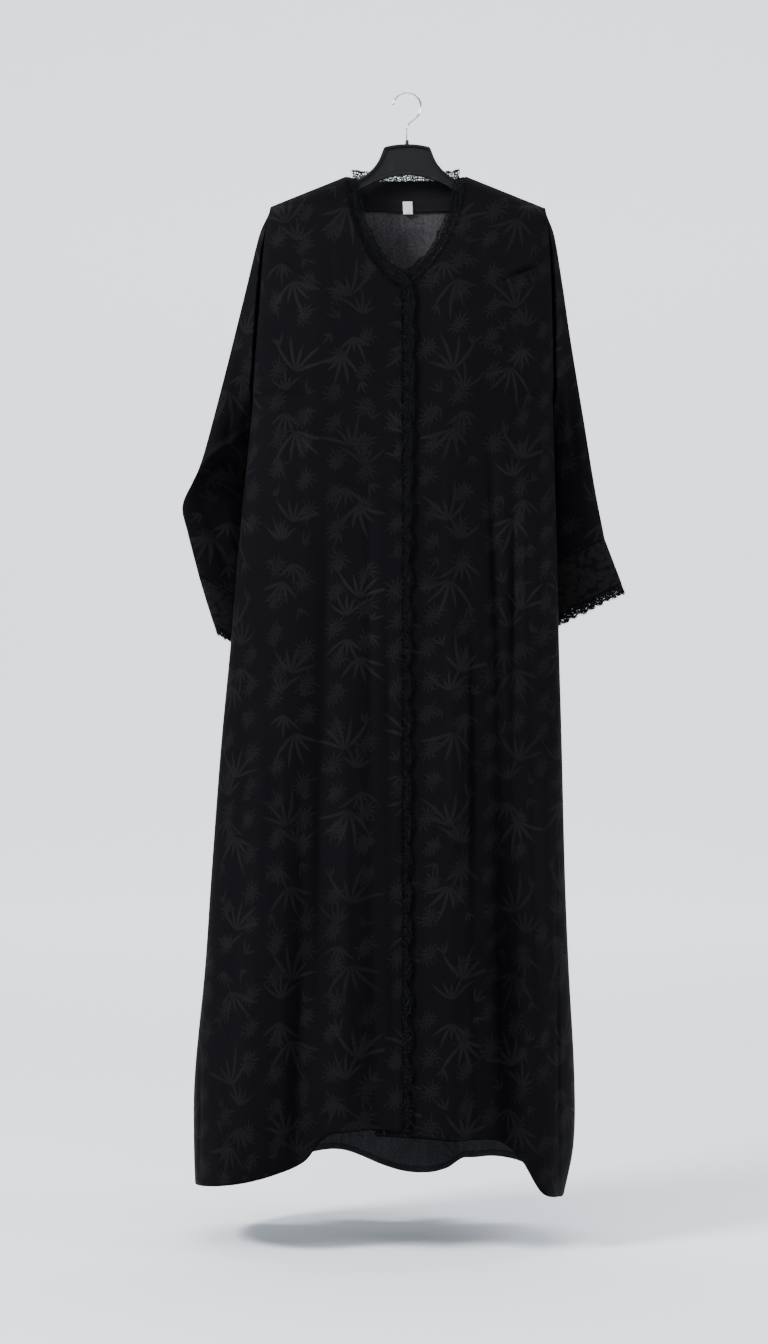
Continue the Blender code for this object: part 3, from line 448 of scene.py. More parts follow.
def body_depth(face, x, z):
    """Distance of the front or back cloth from the plane through both shoulders."""
    bow = bow_at(clamp(abs((x - CENTRE_X) / edge_at(x, z))))
    opening = armhole_half(z)
    full = section_value(face, z)
    below_ridge = clamp((shoulder_line(x) - z) / SHOULDER_ROLL)
    rolled = math.sqrt(max(0.0, 1.0 - (1.0 - below_ridge) ** 2))
    folds, creases, seed = BODY_RELIEF[face]
    at_edge = min(1.0, FOLD_EDGE_FADE * bow)
    relief = fold_relief(folds, x, z) * at_edge
    fine = crease_relief(creases, x, z) + soft_unevenness(x, z, seed) * soft_step(-z, 0.18, 0.30)
    fine *= at_edge * soft_step(below_ridge, 0.4, 1.0)
    return max((opening + (full - opening) * bow) * rolled + relief + fine, SEAM_HALF)


def neck_edge(side, x):
    """Height of the V neck's cloth edge on one front."""
    start = OVERLAP_EDGE_X
    end = CENTRE_X + math.copysign(SHOULDER_NECK[0], half_width(side, NECK_BOTTOM_Z))
    along = (x - start) / (end - start)
    if along <= 0.0:
        return NECK_BOTTOM_Z + abs(end - start) * along
    neck_z = SHOULDER_NECK[1] - SEAM_GAP
    down = (1.0 - min(along, 1.0) ** NECK_ALONG_POWER) ** NECK_DOWN_POWER
    return neck_z + (NECK_BOTTOM_Z - neck_z) * down


def front_depth(side, x, z):
    """Depth of a front panel; the under front lies behind the upper one near the overlap."""
    depth = body_depth("front", x, z)
    if side == "left":
        depth -= UNDER_STEP * (1.0 - soft_step(x, *UNDER_FADE)) * soft_step(-z, *UNDER_START)
    return depth


def column_reach(index, edge_reach, neck_reach):
    """Where a front's column lies across it: from its edge, past the neck point, to the side."""
    if index <= NECK_COLUMNS:
        part = index / NECK_COLUMNS
        return edge_reach + (neck_reach - edge_reach) * (1.0 - (1.0 - part) ** NECK_COLUMN_POWER)
    part = min((index - NECK_COLUMNS) / SIDE_COLUMNS, 1.0)
    return neck_reach + (1.0 - neck_reach) * (1.0 - (1.0 - part) ** SIDE_COLUMN_POWER)


def front_point(side, column, row):
    """A point of a front panel, by its column and its share of the way down."""
    edge_x, hem = FRONT_EDGES[side]
    inner = edge_x - CENTRE_X
    reference = half_width(side, SHOULDER_TIP_Z)
    neck_reach = SHOULDER_NECK[0] / abs(reference)
    reach = column_reach(column, inner / reference, neck_reach)
    top_x = CENTRE_X + reference * reach
    top = neck_edge(side, top_x) if reach < neck_reach else shoulder_line(top_x)
    bottom = hem_height(hem, CENTRE_X + half_width(side, HEM_WIDTH_Z) * reach)
    z = top + (bottom - top) * row
    neck_x = math.copysign(SHOULDER_NECK[0], reference)
    beyond = neck_x + (half_width(side, z) * neck_reach - neck_x) * row
    if reach < neck_reach:
        across = (reach * reference - inner) / (neck_reach * reference - inner)
        x = CENTRE_X + inner + (beyond - inner) * across
    else:
        across = (reach - neck_reach) / (1.0 - neck_reach)
        x = CENTRE_X + beyond + (half_width(side, z) - beyond) * across
    return x, -front_depth(side, x, z), z


def back_neck(share):
    """Height of the back neck's edge, by its share of the way from the middle to the neck point."""
    return SHOULDER_NECK[1] - (1.0 - share**BACK_NECK_POWER) * (SHOULDER_NECK[1] - BACK_NECK_Z)


def back_point(column, row):
    """A point of the back panel; column runs from -1 at the right side to 1 at the left."""
    side = "left" if column > 0 else "right"
    share = abs(column)
    reference = half_width(side, SHOULDER_TIP_Z)
    neck_reach = SHOULDER_NECK[0] / abs(reference)
    if share < BACK_NECK_SHARE:
        reach = neck_reach * share / BACK_NECK_SHARE
    else:
        part = (share - BACK_NECK_SHARE) / (1.0 - BACK_NECK_SHARE)
        reach = neck_reach + (1.0 - neck_reach) * (1.0 - (1.0 - part) ** SIDE_COLUMN_POWER)
    top = back_neck(reach / neck_reach) if reach < neck_reach else shoulder_line(CENTRE_X + reference * reach)
    bottom = hem_height(BACK_HEM, CENTRE_X + half_width(side, HEM_WIDTH_Z) * reach)
    z = top + (bottom - top) * row
    x = CENTRE_X + half_width(side, z) * reach
    return x, body_depth("back", x, z), z


def clear_of_back(x, y, z, bulge):
    """Keeps a sleeve's wall behind the body's edge and back panel."""
    outside = abs(x - CENTRE_X) - abs(edge_at(x, z))
    if outside > 0.0:
        drawn = soft_step(-z, *ARMHOLE_HOLLOW_END)
        nearest = ARMHOLE_HOLLOW + (SLEEVE_CLEARANCE - ARMHOLE_HOLLOW) * drawn - SLEEVE_RELEASE * outside
    else:
        nearest = body_depth("back", x, z) + SLEEVE_CLEARANCE
    if bulge < 0.0:
        nearest += SLEEVE_MIN_DEPTH * -bulge
    return max(y, nearest)


def outside_armhole(x, z):
    """Keeps a sleeve outside the body's edge down to the underarm, and frees it below."""
    edge = abs(edge_at(x, z)) + SEAM_TOUCH
    edge -= UNDERARM_RELEASE * max(0.0, UNDERARM_Z - UNDERARM_MARGIN - z)
    return CENTRE_X + math.copysign(max(abs(x - CENTRE_X), edge), x - CENTRE_X)


def tucked_in(x, z, share):
    """Draws the sleeve's inner edge behind the body's edge just below the underarm."""
    drawn = soft_step(share, *TUCK_ACROSS) * soft_step(-z, *TUCK_DOWN)
    beyond = max(0.0, abs(x - CENTRE_X) - (abs(edge_at(x, z)) - UNDERARM_TUCK))
    return x - math.copysign(beyond * drawn, x - CENTRE_X)


def ring_point(rings, along, around, creases=()):
    """A point of a sleeve: its share of the way down, and its angle from the outer edge, front first."""
    places = list(range(len(rings)))
    at = along * (len(rings) - 1)

    def smooth(values):
        return curve_through(places, values, at)

    outer = [smooth([ring.outer[axis] for ring in rings]) for axis in range(3)]
    inner = [smooth([ring.inner[axis] for ring in rings]) for axis in range(3)]
    half, out, lift = (smooth([getattr(ring, name) for ring in rings]) for name in Ring._fields[2:])
    share = (1.0 - math.cos(around)) / 2.0
    side = math.sin(around)
    bulge = math.copysign(abs(side) ** CORNER_POWER, side)
    front = max(side, 0.0) ** 2
    x = outer[0] + (inner[0] - outer[0]) * share
    y = outer[1] + (inner[1] - outer[1]) * share - half * bulge - out * front
    z = outer[2] + (inner[2] - outer[2]) * share + lift * front
    if creases:
        wave = crease_relief(creases, x, z) + 0.6 * soft_unevenness(x, z, 3.0 if bulge > 0.0 else 9.0)
        y -= wave * bulge * soft_step(at, 0.2, 1.5)
    if rings[0].half < ARMHOLE_HALF_WIDTH:
        return x, clear_of_back(x, y, z, bulge), z
    armhole_x = CENTRE_X + edge_at(x, z) + math.copysign(SEAM_TOUCH, x - CENTRE_X)
    x += (armhole_x - x) * (1.0 - clamp(at)) ** 2
    x = tucked_in(outside_armhole(x, z), z, share)
    return x, y + (clear_of_back(x, y, z, bulge) - y) * soft_step(at, 0.0, 0.5), z


def operator(operation, swapped=False):
    """A method that works out one sum with a link and what it is combined with."""

    def combine(self, *others):
        values = (*others, self) if swapped else (self, *others)
        return self.finish.node("ShaderNodeMath", {"operation": operation}, dict(enumerate(values)))

    return combine


class Link:
    """A socket of a material's nodes that takes part in arithmetic."""

    def __init__(self, finish, socket):
        self.finish = finish
        self.socket = socket

    __add__ = operator("ADD")
    __radd__ = operator("ADD", True)
    __sub__ = operator("SUBTRACT")
    __rsub__ = operator("SUBTRACT", True)
    __mul__ = operator("MULTIPLY")
    __rmul__ = operator("MULTIPLY", True)
    __truediv__ = operator("DIVIDE")
    __pow__ = operator("POWER")
    __abs__ = operator("ABSOLUTE")
    __gt__ = operator("GREATER_THAN")
    __lt__ = operator("LESS_THAN")
    floor = operator("FLOOR")
    round = operator("ROUND")
    sine = operator("SINE")
    cosine = operator("COSINE")
    most = operator("MAXIMUM")
    least = operator("MINIMUM")

    def held(self, low=0.0, high=1.0):
        return self.most(low).least(high)

    def soft(self, width):
        """0 below nought, 1 above the width, a ramp between."""
        return (self / width).held()


class Finish:
    """A material: its Principled shader and the nodes behind it."""

    def __init__(self, name, **constants):
        self.material = bpy.data.materials.new(name)
        self.material.use_nodes = True
        self.tree = self.material.node_tree
        self.shader = self.tree.nodes["Principled BSDF"]
        self.set(**constants)

    def fill(self, sockets, values):
        for key, value in values.items():
            if isinstance(value, Link):
                self.tree.links.new(value.socket, sockets[key])
            else:
                sockets[key].default_value = value

    def set(self, **values):
        """Sets or links the shader's inputs; an underscore in a name stands for a space."""
        self.fill(self.shader.inputs, {name.replace("_", " "): value for name, value in values.items()})
        return self.material

    def node(self, kind, settings, inputs, output=0):
        """Adds a node, sets it up, fills its inputs and gives one of its outputs."""
        made = self.tree.nodes.new(kind)
        for name, value in settings.items():
            setattr(made, name, value)
        self.fill(made.inputs, inputs)
        return Link(self, made.outputs[output])

    def parts(self, vector):
        """The X and Y of a vector."""
        made = self.tree.nodes.new("ShaderNodeSeparateXYZ")
        self.tree.links.new(vector.socket, made.inputs[0])
        return Link(self, made.outputs[0]), Link(self, made.outputs[1])

    def place(self, x, y, z=0.0):
        return self.node("ShaderNodeCombineXYZ", {}, {0: x, 1: y, 2: z})

    def cloth_map(self, name="cut"):
        """Where a point lies on the flat cloth, or how far from its side edge and lower edge, in metres."""
        return self.parts(self.node("ShaderNodeUVMap", {"uv_map": name}, {}))

    def chance(self, x, y, seed=0.0):
        """A number from 0 to 1 that belongs to a place."""
        return self.node("ShaderNodeTexWhiteNoise", {"noise_dimensions": "3D"}, {0: self.place(x, y, seed)})

    def speckle(self, x, y, detail=2.0, roughness=0.5):
        """Noise over a place that is already scaled."""
        inputs = {"Vector": self.place(x, y), "Scale": 1.0, "Detail": detail, "Roughness": roughness}
        return self.node("ShaderNodeTexNoise", {"noise_dimensions": "2D"}, inputs)

    def grain(self, scale, detail, roughness=0.5):
        """Noise through the object's own space."""
        inputs = {"Vector": self.own_place(), "Scale": scale, "Detail": detail, "Roughness": roughness}
        return self.node("ShaderNodeTexNoise", {}, inputs)

    def own_place(self):
        return self.node("ShaderNodeTexCoord", {}, {}, 3)

    def cells(self, x, y, feature="F1", randomness=1.0):
        inputs = {"Vector": self.place(x, y), "Scale": 1.0, "Randomness": randomness}
        return self.node("ShaderNodeTexVoronoi", {"voronoi_dimensions": "2D", "feature": feature}, inputs)

    def between(self, share, first, second):
        """A colour between two others."""
        inputs = {0: share}
        for key, value in ((6, first), (7, second)):
            inputs[key] = value if isinstance(value, Link) else (*value, 1.0)
        return self.node("ShaderNodeMix", {"data_type": "RGBA"}, inputs, 2)

    def relief(self, height, strength, distance):
        """A bump from a height."""
        return self.node("ShaderNodeBump", {}, {"Strength": strength, "Distance": distance, "Height": height})


def leaf_fan(finish, x, y, fan, seed):
    """A fan of pointed leaves that hang from one point, lighter at their rims; each has its own length."""
    down_x = x * math.cos(fan.turn) + y * math.sin(fan.turn)
    down_y = y * math.cos(fan.turn) - x * math.sin(fan.turn)
    away = (down_x * down_x + down_y * down_y) ** 0.5
    angle = finish.node("ShaderNodeMath", {"operation": "ARCTAN2"}, {0: down_x, 1: -1.0 * down_y})
    angle = angle + away * fan.curl
    index = (angle / fan.step).round().held(-fan.leaves, fan.leaves)
    off = angle - index * fan.step
    along = away * off.cosine()
    across = abs(away * off.sine())
    reach = fan.length * (0.52 + 0.55 * finish.chance(index, seed))
    share = (along / reach).held()
    form = (share**0.75) * (1.0 - share) * (fan.width * 2.6)
    blade = (form - across).soft(0.0006)
    return blade * (0.58 + 0.42 * (across * 900.0).soft(0.9))


def leaf_spray(finish, x, y):
    """The jacquard's repeat: hanging and standing sprays in columns, and chains of fine leaf bursts between."""
    cell_x, cell_y = SPRAY_CELL
    column = (x / cell_x).floor()
    shifted = y + 0.217 * finish.chance(column, 3.0)
    row = (shifted / cell_y).floor()
    across = x - (column + 0.5) * cell_x
    up = shifted - (row + 0.5) * cell_y
    standing = (row - 2.0 * (row / 2.0).floor()) * 2.0 - 1.0
    mirrored = (finish.chance(column, row, 8.0) > 0.5) * 2.0 - 1.0
    own = finish.chance(column, row, 5.0)
    px = across * mirrored + (own - 0.5) * 0.016
    py = up * standing * -1.0
    seed = column * 7.0 + row
    fans = [leaf_fan(finish, px + fan.x, py + fan.y, fan, seed + fan.seed) for fan in SPRAY_FANS]
    sprays = fans[0].most(fans[1]).most(fans[2]).most(fans[3]) * (0.55 + 0.35 * own)
    nest_x = ((x + NEST_START) / NEST_CELL[0]).floor()
    lifted = y + 0.019 * nest_x
    nest_y = (lifted / NEST_CELL[1]).floor()
    here = finish.chance(nest_x, nest_y, 2.0)
    sway = finish.chance(nest_x, nest_y, 6.0) - 0.5
    near_x = x + NEST_START - (nest_x + 0.5) * NEST_CELL[0] + sway * 0.010
    near_y = lifted - (nest_y + 0.5) * NEST_CELL[1] + (here - 0.7) * 0.014
    seed = nest_x + 31.0 * nest_y
    wide = 0.0165 + 0.008 * here
    burst = Fan(0.0, 0.0, 0.2, 5.0, 0.6283, wide, 0.0020, 0.0, 12.0)
    sprig = Fan(0.007, 0.009, 0.9, 4.0, 0.7854, wide * 0.85, 0.0018, 50.0, -16.0)
    burst, sprig = (leaf_fan(finish, near_x + fan.x, near_y + fan.y, fan, seed + fan.seed) for fan in (burst, sprig))
    gaps = (finish.cells(x * 290.0, y * 230.0, "DISTANCE_TO_EDGE") - 0.05).soft(0.09)
    return sprays.most(burst.most(sprig) * gaps * (here > 0.24))


def stitch_line(finish, distance, run, place, pitch=0.0032):
    """A dark topstitch line beside an edge, in dashes."""
    dash = (run / pitch - (run / pitch).floor()) < 0.72
    return (0.0006 - abs(distance - place)).soft(0.0004) * dash


def jacquard(name, floral=0.0):
    """The face of the cloth, tone on tone; a floral share adds the cuffs' lace-like figure."""
    finish = Finish(name, Sheen_Weight=0.004, Sheen_Roughness=0.4, Specular_IOR_Level=0.03)
    finish.set(Sheen_Tint=(0.80, 0.77, 0.84, 1.0))
    x, y = finish.cloth_map()
    edge, hem = finish.cloth_map("edges")
    broad = finish.speckle(x * 9.0, y * 5.0, 3.0)
    thread = finish.speckle(x * 900.0, y * 140.0, 2.0, 0.7)
    figure = leaf_spray(finish, x, y) * ((0.55 + 0.6 * broad) * (0.70 + 0.5 * thread))
    if floral:
        bloom = finish.cells(x * 110.0, y * 110.0)
        petals = finish.cells(x * 420.0, y * 420.0, "DISTANCE_TO_EDGE")
        figure = figure.most((0.62 - bloom).soft(0.25) * (petals - 0.06).soft(0.08) * floral)
    ground = finish.between(broad, (0.0023, 0.0020, 0.0029), (0.0036, 0.0031, 0.0043))
    raised = finish.between(broad, (0.0082, 0.0073, 0.0073), (0.0128, 0.0112, 0.0106))
    line = stitch_line(finish, hem, x, HEM_STITCH).most(stitch_line(finish, edge, y, 0.0045) * 0.8)
    # Painted shade: a dark line along every lower edge, standing for the shade in the seam where a sleeve meets its
    # cuff, so the hems get it as well.
    line = line.most((0.0022 - hem).soft(0.0010))
    warp = finish.speckle(x * 2600.0, y * 300.0, 1.0)
    weft = finish.speckle(x * 300.0, y * 2200.0, 1.0)
    height = warp * 0.5 + weft * 0.5 - 0.9 * line + 0.5 * (hem < HEM_TURNED)
    return finish.set(
        Base_Color=finish.between(line * 0.8, finish.between(figure, ground, raised), (0.0010, 0.0010, 0.0012)),
        Roughness=0.74 - 0.16 * figure + 0.05 * thread,
        Normal=finish.relief(height, 0.22, 0.0006),
    )


def reverse_side(name):
    """The inside of the cloth: greyer, with noisy threads and the leaves only faintly seen, and painted shade that
    darkens it near the hem.
    """
    finish = Finish(name, Sheen_Weight=0.02, Sheen_Roughness=0.5, Specular_IOR_Level=0.08)
    x, y = finish.cloth_map()
    hem = finish.cloth_map("edges")[1]
    broad = finish.speckle(x * 14.0, y * 6.0, 3.0)
    thread = (finish.speckle(x * 430.0, y * 330.0, 3.0, 0.8) - 0.30).soft(0.42)
    pleat = finish.speckle(x * 150.0, y * 7.0, 2.0)
    ground = finish.between(thread, (0.018, 0.017, 0.021), (0.072, 0.069, 0.077))
    shaded = finish.between(leaf_spray(finish, x, y) * 0.55, ground, (0.014, 0.013, 0.016))
    streaked = finish.between((pleat - 0.5).soft(0.3) * 0.4, shaded, (0.074, 0.071, 0.080))
    band = stitch_line(finish, hem, x, HEM_STITCH).most((0.0105 - hem).soft(0.0010) * 0.85)
    # Painted shade: the inside darkens towards the hem over its lowest 16 to 24 cm; the band adds the turned hem edge
    # and its stitch line.
    dark = ((0.24 - hem).soft(0.08) * 0.45).most(band * 0.9)
    return finish.set(
        Base_Color=finish.between(dark, streaked, (0.0045, 0.0043, 0.0050)),
        Roughness=0.72 + 0.12 * broad,
        Normal=finish.relief(thread + 0.6 * (hem < HEM_TURNED), 0.25, 0.0006),
    )


def lace_finish(name, mesh_size, filled, frays_below=False):
    """Black lace: flowers and tangles on a net, open between the threads and frayed along its edges."""
    finish = Finish(name, Roughness=0.8, Sheen_Weight=0.004, Specular_IOR_Level=0.03)
    x, y = finish.cloth_map()
    edge, hem = finish.cloth_map("edges")
    net = (0.22 - finish.cells(x / mesh_size, y / mesh_size, "DISTANCE_TO_EDGE", 0.8)).soft(0.08)
    petal = finish.cells(x * 330.0, y * 330.0, "DISTANCE_TO_EDGE")
    flower = (0.42 - finish.cells(x * 95.0, y * 95.0)).soft(0.06) * (petal > 0.09)
    tangle = finish.speckle(x * 300.0, y * 300.0, 3.0, 0.7)
    solid = (flower * filled).most((tangle - 0.62 + 0.17 * filled).soft(0.05))
    if frays_below:
        solid = solid.most((hem - 0.0085).soft(0.002) * (tangle - 0.40).soft(0.04))
    ragged = ((hem / 0.0055 if frays_below else edge / 0.0036) + (tangle - 0.52) * 5.0).soft(0.3)
    thread = finish.speckle(x * 1500.0, y * 1500.0, 2.0)
    light = (finish.speckle(x * 380.0, y * 380.0, 2.0, 0.7) - 0.50).soft(0.16) * (0.5 + 0.5 * thread)
    return finish.set(
        Base_Color=finish.between(light, (0.0012, 0.0014, 0.0018), (0.0125, 0.0128, 0.0142)),
        Alpha=solid.most(net) * ragged,
        Normal=finish.relief(solid + thread * 0.4, 0.5, 0.0008),
    )


def thread_finish(name):
    """The lashes and picots at the lace's edge."""
    finish = Finish(name, Roughness=0.8, Sheen_Weight=0.004, Specular_IOR_Level=0.03)
    twist = finish.grain(900.0, 2.0)
    colour = finish.between(twist, (0.0026, 0.0027, 0.0032), (0.0085, 0.0085, 0.0095))
    return finish.set(Base_Color=colour, Normal=finish.relief(twist, 0.3, 0.0004))


def facing_finish(name):
    """The plain dark facing with its topstitch lines."""
    finish = Finish(name, Sheen_Weight=0.01, Specular_IOR_Level=0.06)
    x, y = finish.cloth_map()
    hem = finish.cloth_map("edges")[1]
    thread = finish.speckle(x * 1400.0, y * 500.0, 3.0, 0.7)
    broad = finish.speckle(x * 30.0, y * 40.0, 2.0)
    tone = finish.between(thread * (0.4 + broad), (0.0040, 0.0038, 0.0046), (0.0110, 0.0104, 0.0116))
    line = stitch_line(finish, hem, x, 0.0030).most(stitch_line(finish, hem, x, 0.0175))
    return finish.set(
        Base_Color=finish.between(line * 0.7, tone, (0.0150, 0.0145, 0.0155)),
        Roughness=0.7 + 0.1 * broad,
        Normal=finish.relief(thread - line, 0.3, 0.0006),
    )


def label_finish(name):
    """The blank woven satin of the label."""
    finish = Finish(name, Sheen_Weight=0.3, Specular_IOR_Level=0.45)
    x, y = finish.cloth_map()
    thread = finish.speckle(x * 900.0, y * 4200.0, 2.0)
    soil = finish.speckle(x * 160.0, y * 120.0, 3.0)
    return finish.set(
        Base_Color=finish.between(thread * 0.6 + soil * 0.4, (0.54, 0.54, 0.55), (0.72, 0.72, 0.73)),
        Roughness=0.42 + 0.2 * thread,
        Normal=finish.relief(thread, 0.4, 0.0004),
    )


def plastic_finish(name, gloss):
    """Moulded black plastic: a faint grain, scuffs and an uneven gloss."""
    finish = Finish(name, Specular_IOR_Level=0.25)
    grain = finish.grain(1400.0, 2.0)
    rubbed = (finish.grain(60.0, 5.0, 0.7) - 0.58).soft(0.12)
    return finish.set(
        Base_Color=finish.between(rubbed, (0.0040, 0.0043, 0.0050), (0.0110, 0.0114, 0.0122)),
        Roughness=gloss + 0.10 * grain + 0.14 * rubbed,
        Normal=finish.relief(grain, 0.12, 0.0005),
    )


def chrome_finish(name):
    """Bright chromed wire with fine drawing lines and a few dull spots."""
    finish = Finish(name, Metallic=1.0)
    drawn = finish.grain(700.0, 3.0)
    spots = (finish.grain(160.0, 4.0) - 0.60).soft(0.10)
    return finish.set(
        Base_Color=finish.between(spots, (0.62, 0.63, 0.65), (0.38, 0.38, 0.39)),
        Roughness=0.12 + 0.08 * drawn + 0.22 * spots,
        Normal=finish.relief(drawn, 0.06, 0.0003),
    )


def studio_finish(name, tone, painted_glow):
    """The pale matt floor and backdrop; as painted light, they glow faintly near the front and fully at the far part,
    standing in for lamplight on the paper.
    """
    finish = Finish(name, Specular_IOR_Level=0.2, Emission_Strength=1.0, Roughness=0.85)
    far = ((finish.parts(finish.own_place())[1] - PAINTED_GLOW_START_Y) / PAINTED_GLOW_RUN).held()
    far = far * far * (3.0 - 2.0 * far)
    return finish.set(
        Base_Color=finish.between(finish.grain(2.5, 3.0), tone, tuple(0.985 * value for value in tone)),
        # Painted light: the emission grows from a faint glow near the front to full at the far part.
        Emission_Color=finish.between(far, tuple(0.08 * value for value in painted_glow), painted_glow),
    )


def new_mesh(name, points, faces):
    mesh = bpy.data.meshes.new(name)
    mesh.from_pydata(points, [], faces)
    mesh.shade_smooth()
    return mesh


def mesh_from(bm, name):
    mesh = bpy.data.meshes.new(name)
    bm.to_mesh(mesh)
    bm.free()
    mesh.shade_smooth()
    return mesh


def add_object(name, data):
    made = bpy.data.objects.new(name, data)
    bpy.context.scene.collection.objects.link(made)
    return made


def finished_object(name, mesh, slot, *materials):
    """Puts a mesh in the scene with its finish; it rides on the body."""
    for one in materials:
        mesh.materials.append(one)
    made = add_object(name, mesh)
    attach(made, "root")
    return made


def cloth_sheet(name, node, grid, point, look, outward, origin=(0.0, 0.0), closed=False, flat=None):
    """A thin shell laid out by a point function. Its maps hold, in metres, where each point lies on the flat
    cloth and how far it is from the nearer side edge and from the lower edge."""
    columns, rows = grid
    places = [[Vector(point(c / columns, r / rows)) for c in range(columns + 1)] for r in range(rows + 1)]
    run = [list(accumulate(((b - a).length for a, b in pairwise(line)), initial=0.0)) for line in places]
    fall = [[0.0] * (columns + 1)]
    for below, above in pairwise(places[::-1]):
        fall.append([sofar + (b - a).length for sofar, a, b in zip(fall[-1], below, above)])
    fall.reverse()
    width = columns if closed else columns + 1
    points = [place for line in places for place in line[:width]]
    rings = [((r, c), (r, c + 1), (r + 1, c + 1), (r + 1, c)) for r in range(rows) for c in range(columns)]
    quads = [[i * width + j % width for i, j in ring] for ring in rings]
    a, b, c, d = (points[i] for i in quads[len(quads) // 2 - columns // 4])
    if (c - a).cross(d - b).dot(outward(a)) < 0.0:
        quads = [quad[::-1] for quad in quads]
        rings = [ring[::-1] for ring in rings]
    mesh = new_mesh(name, points, quads)
    cut = mesh.uv_layers.new(name="cut")
    edges = mesh.uv_layers.new(name="edges")
    for at, (i, j) in enumerate(corner for ring in rings for corner in ring):
        on_cloth = flat(places[i][j]) if flat else (run[i][j], fall[i][j])
        cut.data[at].uv = (origin[0] + on_cloth[0], origin[1] + on_cloth[1])
        edges.data[at].uv = (1.0 if closed else min(run[i][j], run[i][-1] - run[i][j]), fall[i][j])
    made = finished_object(name, mesh, look.slot, *look.faces)
    wall = made.modifiers.new("wall", "SOLIDIFY")
    wall.thickness = look.thickness
    wall.offset = 0.0
    wall.use_even_offset = False
    wall.material_offset = len(look.faces) - 1
    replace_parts(made, node)
    return made


def strand_mesh(name, thread, strands, radius):
    """Many fine tapered strands in one mesh, each with three sides, from its root through a bend to its tip."""
    points, faces = [], []
    for root, bend, tip in strands:
        base = len(points)
        way = (tip - root).normalized()
        side = way.cross(Vector((0.13, 0.97, 0.2))).normalized()
        other = way.cross(side)
        for place, share in ((root, 1.0), (bend, 0.8)):
            for k in range(3):
                turn = TURN * k / 3
                points.append(place + (side * math.cos(turn) + other * math.sin(turn)) * radius * share)
        points.append(tip)
        for k in range(3):
            n = (k + 1) % 3
            faces.append([base + k, base + n, base + 3 + n, base + 3 + k])
            faces.append([base + 3 + k, base + 3 + n, base + 6])
        faces.append([base + 2, base + 1, base])
    return finished_object(name, new_mesh(name, points, faces), "black_lace", thread)


def lace_route(side, steps):
    """Places along a front's edge from the neck point to the hem, with how far round the neck each is."""
    edge_x, hem = FRONT_EDGES[side]
    neck_steps = steps // 4
    down_steps = steps - neck_steps
    places = []
    for step in range(neck_steps):
        x, _, z = front_point(side, NECK_COLUMNS * (1.0 - (step + 1) / (neck_steps + 1)), 0.0)
        places.append((x, z, True))
    top = front_point(side, 0, 0.0)[2]
    bottom = hem_height(hem, edge_x)
    for step in range(down_steps + 1):
        places.append((edge_x, top + (bottom - top) * step / down_steps, False))
    return places


def front_lace_point(side, places, u, v):
    """A point of a front's lace: u runs out from the cloth's edge, v from the neck to the hem."""
    last = len(places) - 1
    step = min(round(v * last), last)
    neck_steps = sum(1 for place in places if place[2])
    x, z, round_neck = places[step]
    before, after = places[max(step - 1, 0)], places[min(step + 1, last)]
    length = math.dist(before[:2], after[:2])
    way = 1.0 if side == "right" else -1.0
    if round_neck:
        wide = NECK_LACE + (FRONT_LACE - NECK_LACE) * soft_step(step, 0.8 * neck_steps, neck_steps)
        wide -= 0.0012 * (1.0 - abs(math.sin(step * 0.9)))
    else:
        along = (places[neck_steps][1] - z) / SCALLOP_PITCH
        lower = soft_step(-z, *SCALLOPS_DEEPEN)
        wide = FRONT_LACE * (1.0 - 0.24 * lower)
        wide -= (SCALLOP_DEPTH + 0.0030 * lower) * (1.0 - abs(math.sin(math.pi * along)) ** 0.8)
        wide -= 0.0009 * (1.0 - abs(math.sin(math.pi * along * 7.0)))
    reach = LACE_SEAM * (1.0 - 1.3 * (1.0 - u)) + wide * u
    x += (before[1] - after[1]) / length * way * reach
    z += (after[0] - before[0]) / length * way * reach
    return Vector((x, -front_depth(side, x, z), z))


def lace_edge(point, steps, out, stride=1, along_edge=None):
    """Places of a lace's edge with the ways out from the cloth and along the edge; point takes along and out."""
    edge = []
    for step in range(0, steps + 1, stride):
        u = step / steps
        way = (point(u, 1.0) - point(u, 0.0)).normalized()
        before, after = (point(clamp(step + n, 0, steps) / steps, out) for n in (-1, 1))
        edge.append((point(u, out), way, along_edge if along_edge else (after - before).normalized()))
    return edge


def lashes(edge_points, count, reach, bend, dice):
    """Strands that leave an edge: points and the ways they leave are given as (place, way, side)."""
    strands = []
    for _ in range(count):
        at = dice.random() * (len(edge_points) - 1)
        k = min(int(at), len(edge_points) - 2)
        place, way, side = edge_points[k]
        root = place.lerp(edge_points[k + 1][0], at - k)
        clump = 0.5 + 0.5 * math.sin(k * 0.61 + 2.4 * math.sin(k * 0.17) + 1.3 * math.sin(k * 0.9))
        length = reach * (0.16 + 0.84 * dice.random() ** 0.7 * clump)
        lean = side * (dice.random() - 0.5) * bend * 2.0
        curl = Vector((0.0, (dice.random() - 0.5) * 0.5, 0.0))
        middle = root + (way + lean * 0.5 + curl * 0.3) * length * 0.5
        tip = root + (way + lean * 1.6 + curl).normalized() * length
        strands.append((root, middle, tip))
    return strands


def toward_front(place):
    return Vector((0.0, -1.0, 0.0))


def toward_back(place):
    return Vector((0.0, 1.0, 0.0))


def body_flat(place):
    """Where a point of a body panel lies on the cloth before it was hung."""
    bow = bow_at(clamp((place.x - CENTRE_X) / edge_at(place.x, place.z)))
    turned = 0.7 * section_value("front" if place.y < 0.0 else "back", place.z) * (1.0 - bow)
    return place.x + math.copysign(turned, place.x - CENTRE_X), place.z


